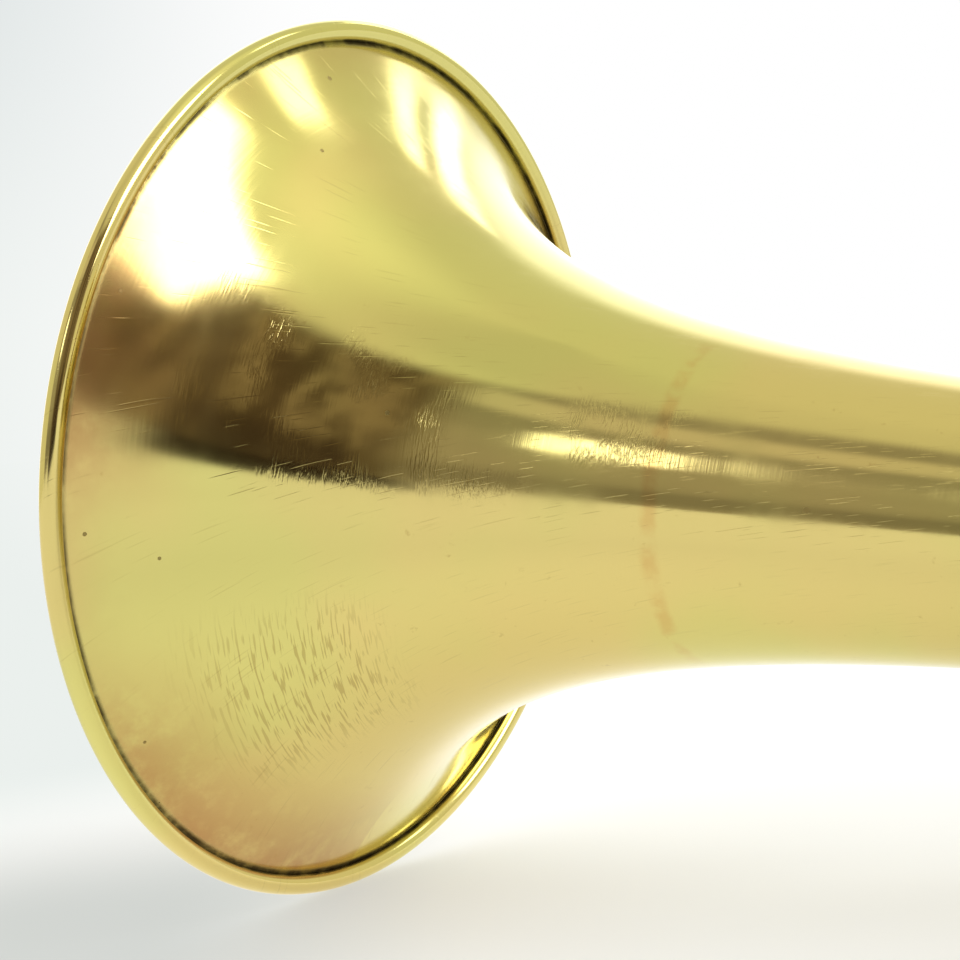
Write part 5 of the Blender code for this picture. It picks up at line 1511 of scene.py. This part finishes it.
class TRUMPET_OT_valve_slides(bpy.types.Operator):
    """Build the three valve slides with their sleeves, thumb saddle, knob and finger ring"""

    bl_idname = "trumpet.valve_slides"
    bl_label = "Valve slides"

    def execute(self, context):
        self.first()
        self.second()
        self.third()
        return {"FINISHED"}

    def bridge(self, shape, centre, span, width, thick, axis, other):
        """A waisted bar between two sleeves."""
        half = span / 2
        corners = []
        for side, order in ((1, 1), (-1, -1)):
            for part in range(9):
                t = (2 * part / 8 - 1) * order
                corners.append((side * width / 2 * (0.7 + 0.55 * t * t), t * half))
        shape.extrude(corners, centre, axis, Z, thick, other)

    def first(self):
        y, upper_z, lower_z, bend_x = -4.0 * MM, 20.0 * MM, -12.5 * MM, -82.5 * MM
        sleeves = Shape()
        for z in (upper_z, lower_z):
            path = offset_line(VALVES["1"], -X, y, z, bend_x + 3.0 * MM)
            sleeves.sweep(path, SLEEVE, WALL, copes=(VALVES["1"], None))
        span = upper_z - lower_z - 2 * (SLEEVE - 0.35 * MM)
        middle = (upper_z + lower_z) / 2
        self.bridge(sleeves, Vector((bend_x + 17.0 * MM, y, middle)), span, 3.0 * MM, 2.0 * MM, Y, X)
        sleeves.piece("first_slide_sleeves", BRASS, "instrument")
        sleeve_ends(
            "first_sleeve_rings", [Vector((bend_x + 3.0 * MM, y, z)) for z in (upper_z, lower_z)], -X
        )
        path = hairpin(Vector((bend_x, y, upper_z)), Vector((bend_x, y, lower_z)), -X, 40.0 * MM)
        Shape().sweep(path, LEG, WALL).piece("first_slide", BRASS, "first_valve_slide")
        self.thumb_saddle(y, bend_x, upper_z)

    def thumb_saddle(self, y, bend_x, upper_z):
        inner, outer, lip = 8.0 * MM, 9.2 * MM, 7.0 * MM
        corners = [(-outer, lip)]
        corners += [
            (outer * math.cos(math.pi + math.pi * part / 32), outer * math.sin(math.pi + math.pi * part / 32))
            for part in range(33)
        ]
        corners += [(outer, lip), (inner, lip)]
        corners += [
            (inner * math.cos(math.tau - math.pi * part / 32), inner * math.sin(math.tau - math.pi * part / 32))
            for part in range(33)
        ]
        corners.append((-inner, lip))
        saddle_y = -1.0 * MM
        rise = math.sqrt((LEG + GAP + outer) ** 2 - (saddle_y - y) ** 2)
        centre = Vector((bend_x - 4.5 * MM, saddle_y, upper_z + rise))
        shape = Shape().extrude(corners, centre, Y, Z, 9.0 * MM, X)
        shape.piece("thumb_saddle", BRASS, "first_valve_slide", bevel=0.35 * MM)
        foot = Shape()
        profile = rounded(
            [(0, -0.7 * MM), (3.4 * MM, -0.7 * MM), (2.4 * MM, 1.1 * MM), (0, 1.1 * MM)], 0.4 * MM
        )
        way = (centre - Vector((centre.x, y, upper_z))).normalized()
        foot.lathe(profile, Vector((centre.x, y, upper_z)) + way * LEG, way, steps=40, closed=False)
        foot.piece("thumb_saddle_foot", BRASS, "first_valve_slide", extra=True)

    def second(self):
        half, bend_y = 12.0 * MM, -38.0 * MM
        sleeves = Shape()
        for z in (half, -half):
            path = [
                Vector((0, -CASING, z)), Vector((0, -CASING - 4 * MM, z)),
                Vector((0, bend_y + 3.0 * MM, z)),
            ]
            sleeves.sweep(path, SLEEVE, WALL, copes=(VALVES["2"], None))
        span = 2 * half - 2 * (SLEEVE - 0.35 * MM)
        self.bridge(sleeves, Vector((0, bend_y + 11.0 * MM, 0)), span, 3.0 * MM, 2.0 * MM, X, Y)
        sleeves.piece("second_slide_sleeves", BRASS, "instrument")
        sleeve_ends("second_sleeve_rings", [Vector((0, bend_y + 3.0 * MM, z)) for z in (half, -half)], -Y)
        path = hairpin(Vector((0, bend_y, half)), Vector((0, bend_y, -half)), -Y, 23.0 * MM)
        Shape().sweep(path, LEG, WALL).piece("second_slide", BRASS, "second_valve_slide")
        crest = bend_y - half - LEG - 0.1 * MM
        profile = flowing(
            [
                (0, 7.5 * MM), (2.4 * MM, 7.3 * MM), (4.2 * MM, 6.5 * MM), (4.6 * MM, 5.3 * MM),
                (3.9 * MM, 4.0 * MM), (2.2 * MM, 3.0 * MM), (2.0 * MM, 1.6 * MM),
                (2.7 * MM, 0.5 * MM), (3.3 * MM, -0.2 * MM),
            ]
        )
        profile.append((0, -0.2 * MM))
        Shape().lathe(profile, (0, crest, 0), -Y, steps=60, closed=False).piece(
            "second_slide_knob", BRASS, "second_valve_slide"
        )

    def third(self):
        y, upper_z, lower_z, bend_x = 10.8 * MM, 13.0 * MM, -16.5 * MM, 84.0 * MM
        middle = (upper_z + lower_z) / 2
        sleeves = Shape()
        for z in (upper_z, lower_z):
            path = offset_line(VALVES["3"], X, y, z, bend_x - 3.0 * MM)
            sleeves.sweep(path, SLEEVE, WALL, copes=(VALVES["3"], None))
        span = upper_z - lower_z - 2 * (SLEEVE - 0.35 * MM)
        bridge_x = 64.0 * MM
        rod = 1.2 * MM
        hole = rod + 0.3 * MM
        eye = rounded(
            [(hole, 1.0 * MM), (3.0 * MM, 1.0 * MM), (3.0 * MM, -1.0 * MM), (hole, -1.0 * MM)],
            0.25 * MM, closed=True,
        )
        sleeves.lathe(eye, (bridge_x, y, middle), X, steps=48)
        for side in (1, -1):
            low = middle + side * (hole + 0.7 * MM)
            high = middle + side * span / 2
            corners = [(-1.5 * MM, 0), (1.5 * MM, 0), (2.2 * MM, high - low), (-2.2 * MM, high - low)]
            sleeves.extrude(corners, Vector((bridge_x, y, low)), Y, Z, 2.0 * MM, X)
        sleeves.piece("third_slide_sleeves", BRASS, "instrument")
        sleeve_ends(
            "third_sleeve_rings", [Vector((bend_x - 3.0 * MM, y, z)) for z in (upper_z, lower_z)], X
        )
        path = hairpin(Vector((bend_x, y, upper_z)), Vector((bend_x, y, lower_z)), X, 43.0 * MM)
        Shape().sweep(path, LEG, WALL).piece("third_slide", BRASS, "third_valve_slide")
        self.finger_ring(y, bend_x, upper_z)
        front = bend_x + (upper_z - lower_z) / 2 - LEG + 0.2 * MM
        nut = bridge_x - 1.0 * MM - 25.5 * MM - GAP
        profile = rounded(
            [
                (0, front), (2.2 * MM, front), (rod, front - 1.6 * MM), (rod, nut),
                (2.4 * MM, nut), (2.4 * MM, nut - 3.0 * MM), (0, nut - 3.0 * MM),
            ],
            0.2 * MM,
        )
        flutes = (nut - 2.8 * MM, nut - 0.1 * MM, 18, 0.3 * MM)
        Shape().lathe(profile, (0, y, middle), X, steps=108, closed=False, flutes=flutes).piece(
            "third_slide_stop_rod", NICKEL, "third_valve_slide"
        )

    def finger_ring(self, y, bend_x, upper_z):
        wire, radius, ring_y = 1.3 * MM, 10.8 * MM, 2.6 * MM
        ring_x = bend_x - 3.0 * MM + radius + wire + 2 * GAP
        rise = math.sqrt((LEG + 1.6 * wire + GAP) ** 2 - (y - ring_y) ** 2)
        centre = Vector((ring_x, ring_y, upper_z + rise + radius))
        section = round_section(wire, radius, sides=24, width=1.6)
        shape = Shape().lathe(section, centre, Y, steps=96)
        tube_axis = Vector((ring_x, y, upper_z))
        way = (centre - Z * radius - tube_axis).normalized()
        profile = rounded(
            [(0, -0.6 * MM), (3.4 * MM, -0.6 * MM), (2.2 * MM, 1.4 * MM), (0, 1.4 * MM)], 0.4 * MM
        )
        shape.lathe(profile, tube_axis + way * LEG, way, steps=40, closed=False)
        shape.piece("finger_ring", BRASS, "third_valve_slide")


class TRUMPET_OT_fittings(bpy.types.Operator):
    """Build the braces to the bell and the finger hook"""

    bl_idname = "trumpet.fittings"
    bl_label = "Braces and finger hook"

    def execute(self, context):
        sizes = context.scene.trumpet_bell
        for name, x, pipe in (("front_bell_brace", 66.0 * MM, SLEEVE), ("rear_bell_brace", -62.0 * MM, LEG)):
            start = Vector((x, PIPE_Y + pipe - 0.1 * MM, UPPER_Z))
            bell = bell_radius(sizes, BELL_FRONT - x)
            end = Vector((x, BELL_Y - bell + 0.1 * MM, UPPER_Z))
            brace(start, end).piece(name, BRASS, "instrument")
        self.hook()
        return {"FINISHED"}

    def hook(self):
        wire, radius, x = 1.6 * MM, 9.0 * MM, 52.0 * MM
        centre = Vector((x, PIPE_Y, UPPER_Z + SLEEVE + GAP + wire + radius))
        steps = 48
        points = []
        for step in range(steps + 1):
            angle = -math.pi / 2 - math.radians(215) * step / steps
            points.append(centre + radius * (X * math.cos(angle) + Z * math.sin(angle)))

        def size(share):
            end = max(0.0, (share - 0.93) / 0.07)
            return wire * (1.0 - 0.25 * share) * math.sqrt(max(0.02, 1 - end * end))

        shape = Shape().sweep(points, size, sides=24)
        foot = flowing(
            [(0, 1.5 * MM), (1.6 * MM, 1.3 * MM), (3.2 * MM, 0.6 * MM), (4.4 * MM, -0.3 * MM)], parts=4
        )
        foot.append((0, -0.3 * MM))
        shape.lathe(foot, (x, PIPE_Y, UPPER_Z + SLEEVE), Z, steps=48, closed=False)
        shape.piece("finger_hook", BRASS, "instrument")


# Panel


STEPS = (
    TRUMPET_OT_stage, TRUMPET_OT_bell, TRUMPET_OT_bow, TRUMPET_OT_casings, TRUMPET_OT_valves,
    TRUMPET_OT_mouthpiece, TRUMPET_OT_tuning_slide, TRUMPET_OT_water_key, TRUMPET_OT_valve_slides,
    TRUMPET_OT_fittings,
)


class TRUMPET_PT_build(bpy.types.Panel):
    """Lists the steps that build the trumpet, and their settings"""

    bl_idname = "TRUMPET_PT_build"
    bl_label = "Trumpet"
    bl_space_type = "VIEW_3D"
    bl_region_type = "UI"
    bl_category = "Trumpet"

    def draw(self, context):
        for group in (
            context.scene.trumpet_bell, context.scene.trumpet_finish, context.scene.trumpet_stage,
        ):
            box = self.layout.box()
            for name in group.__annotations__:
                box.prop(group, name)
        for step in STEPS:
            self.layout.operator(step.bl_idname)


CLASSES = (BellSizes, FinishSettings, StageSettings, *STEPS, TRUMPET_PT_build)


def register():
    for cls in CLASSES:
        bpy.utils.register_class(cls)
    bpy.types.Scene.trumpet_bell = PointerProperty(type=BellSizes)
    bpy.types.Scene.trumpet_finish = PointerProperty(type=FinishSettings)
    bpy.types.Scene.trumpet_stage = PointerProperty(type=StageSettings)


def unregister():
    del bpy.types.Scene.trumpet_stage
    del bpy.types.Scene.trumpet_finish
    del bpy.types.Scene.trumpet_bell
    for cls in reversed(CLASSES):
        bpy.utils.unregister_class(cls)


def main():
    register()
    for step in STEPS:
        group, name = step.bl_idname.split(".")
        getattr(getattr(bpy.ops, group), name)()


if __name__ == "__main__":
    main()
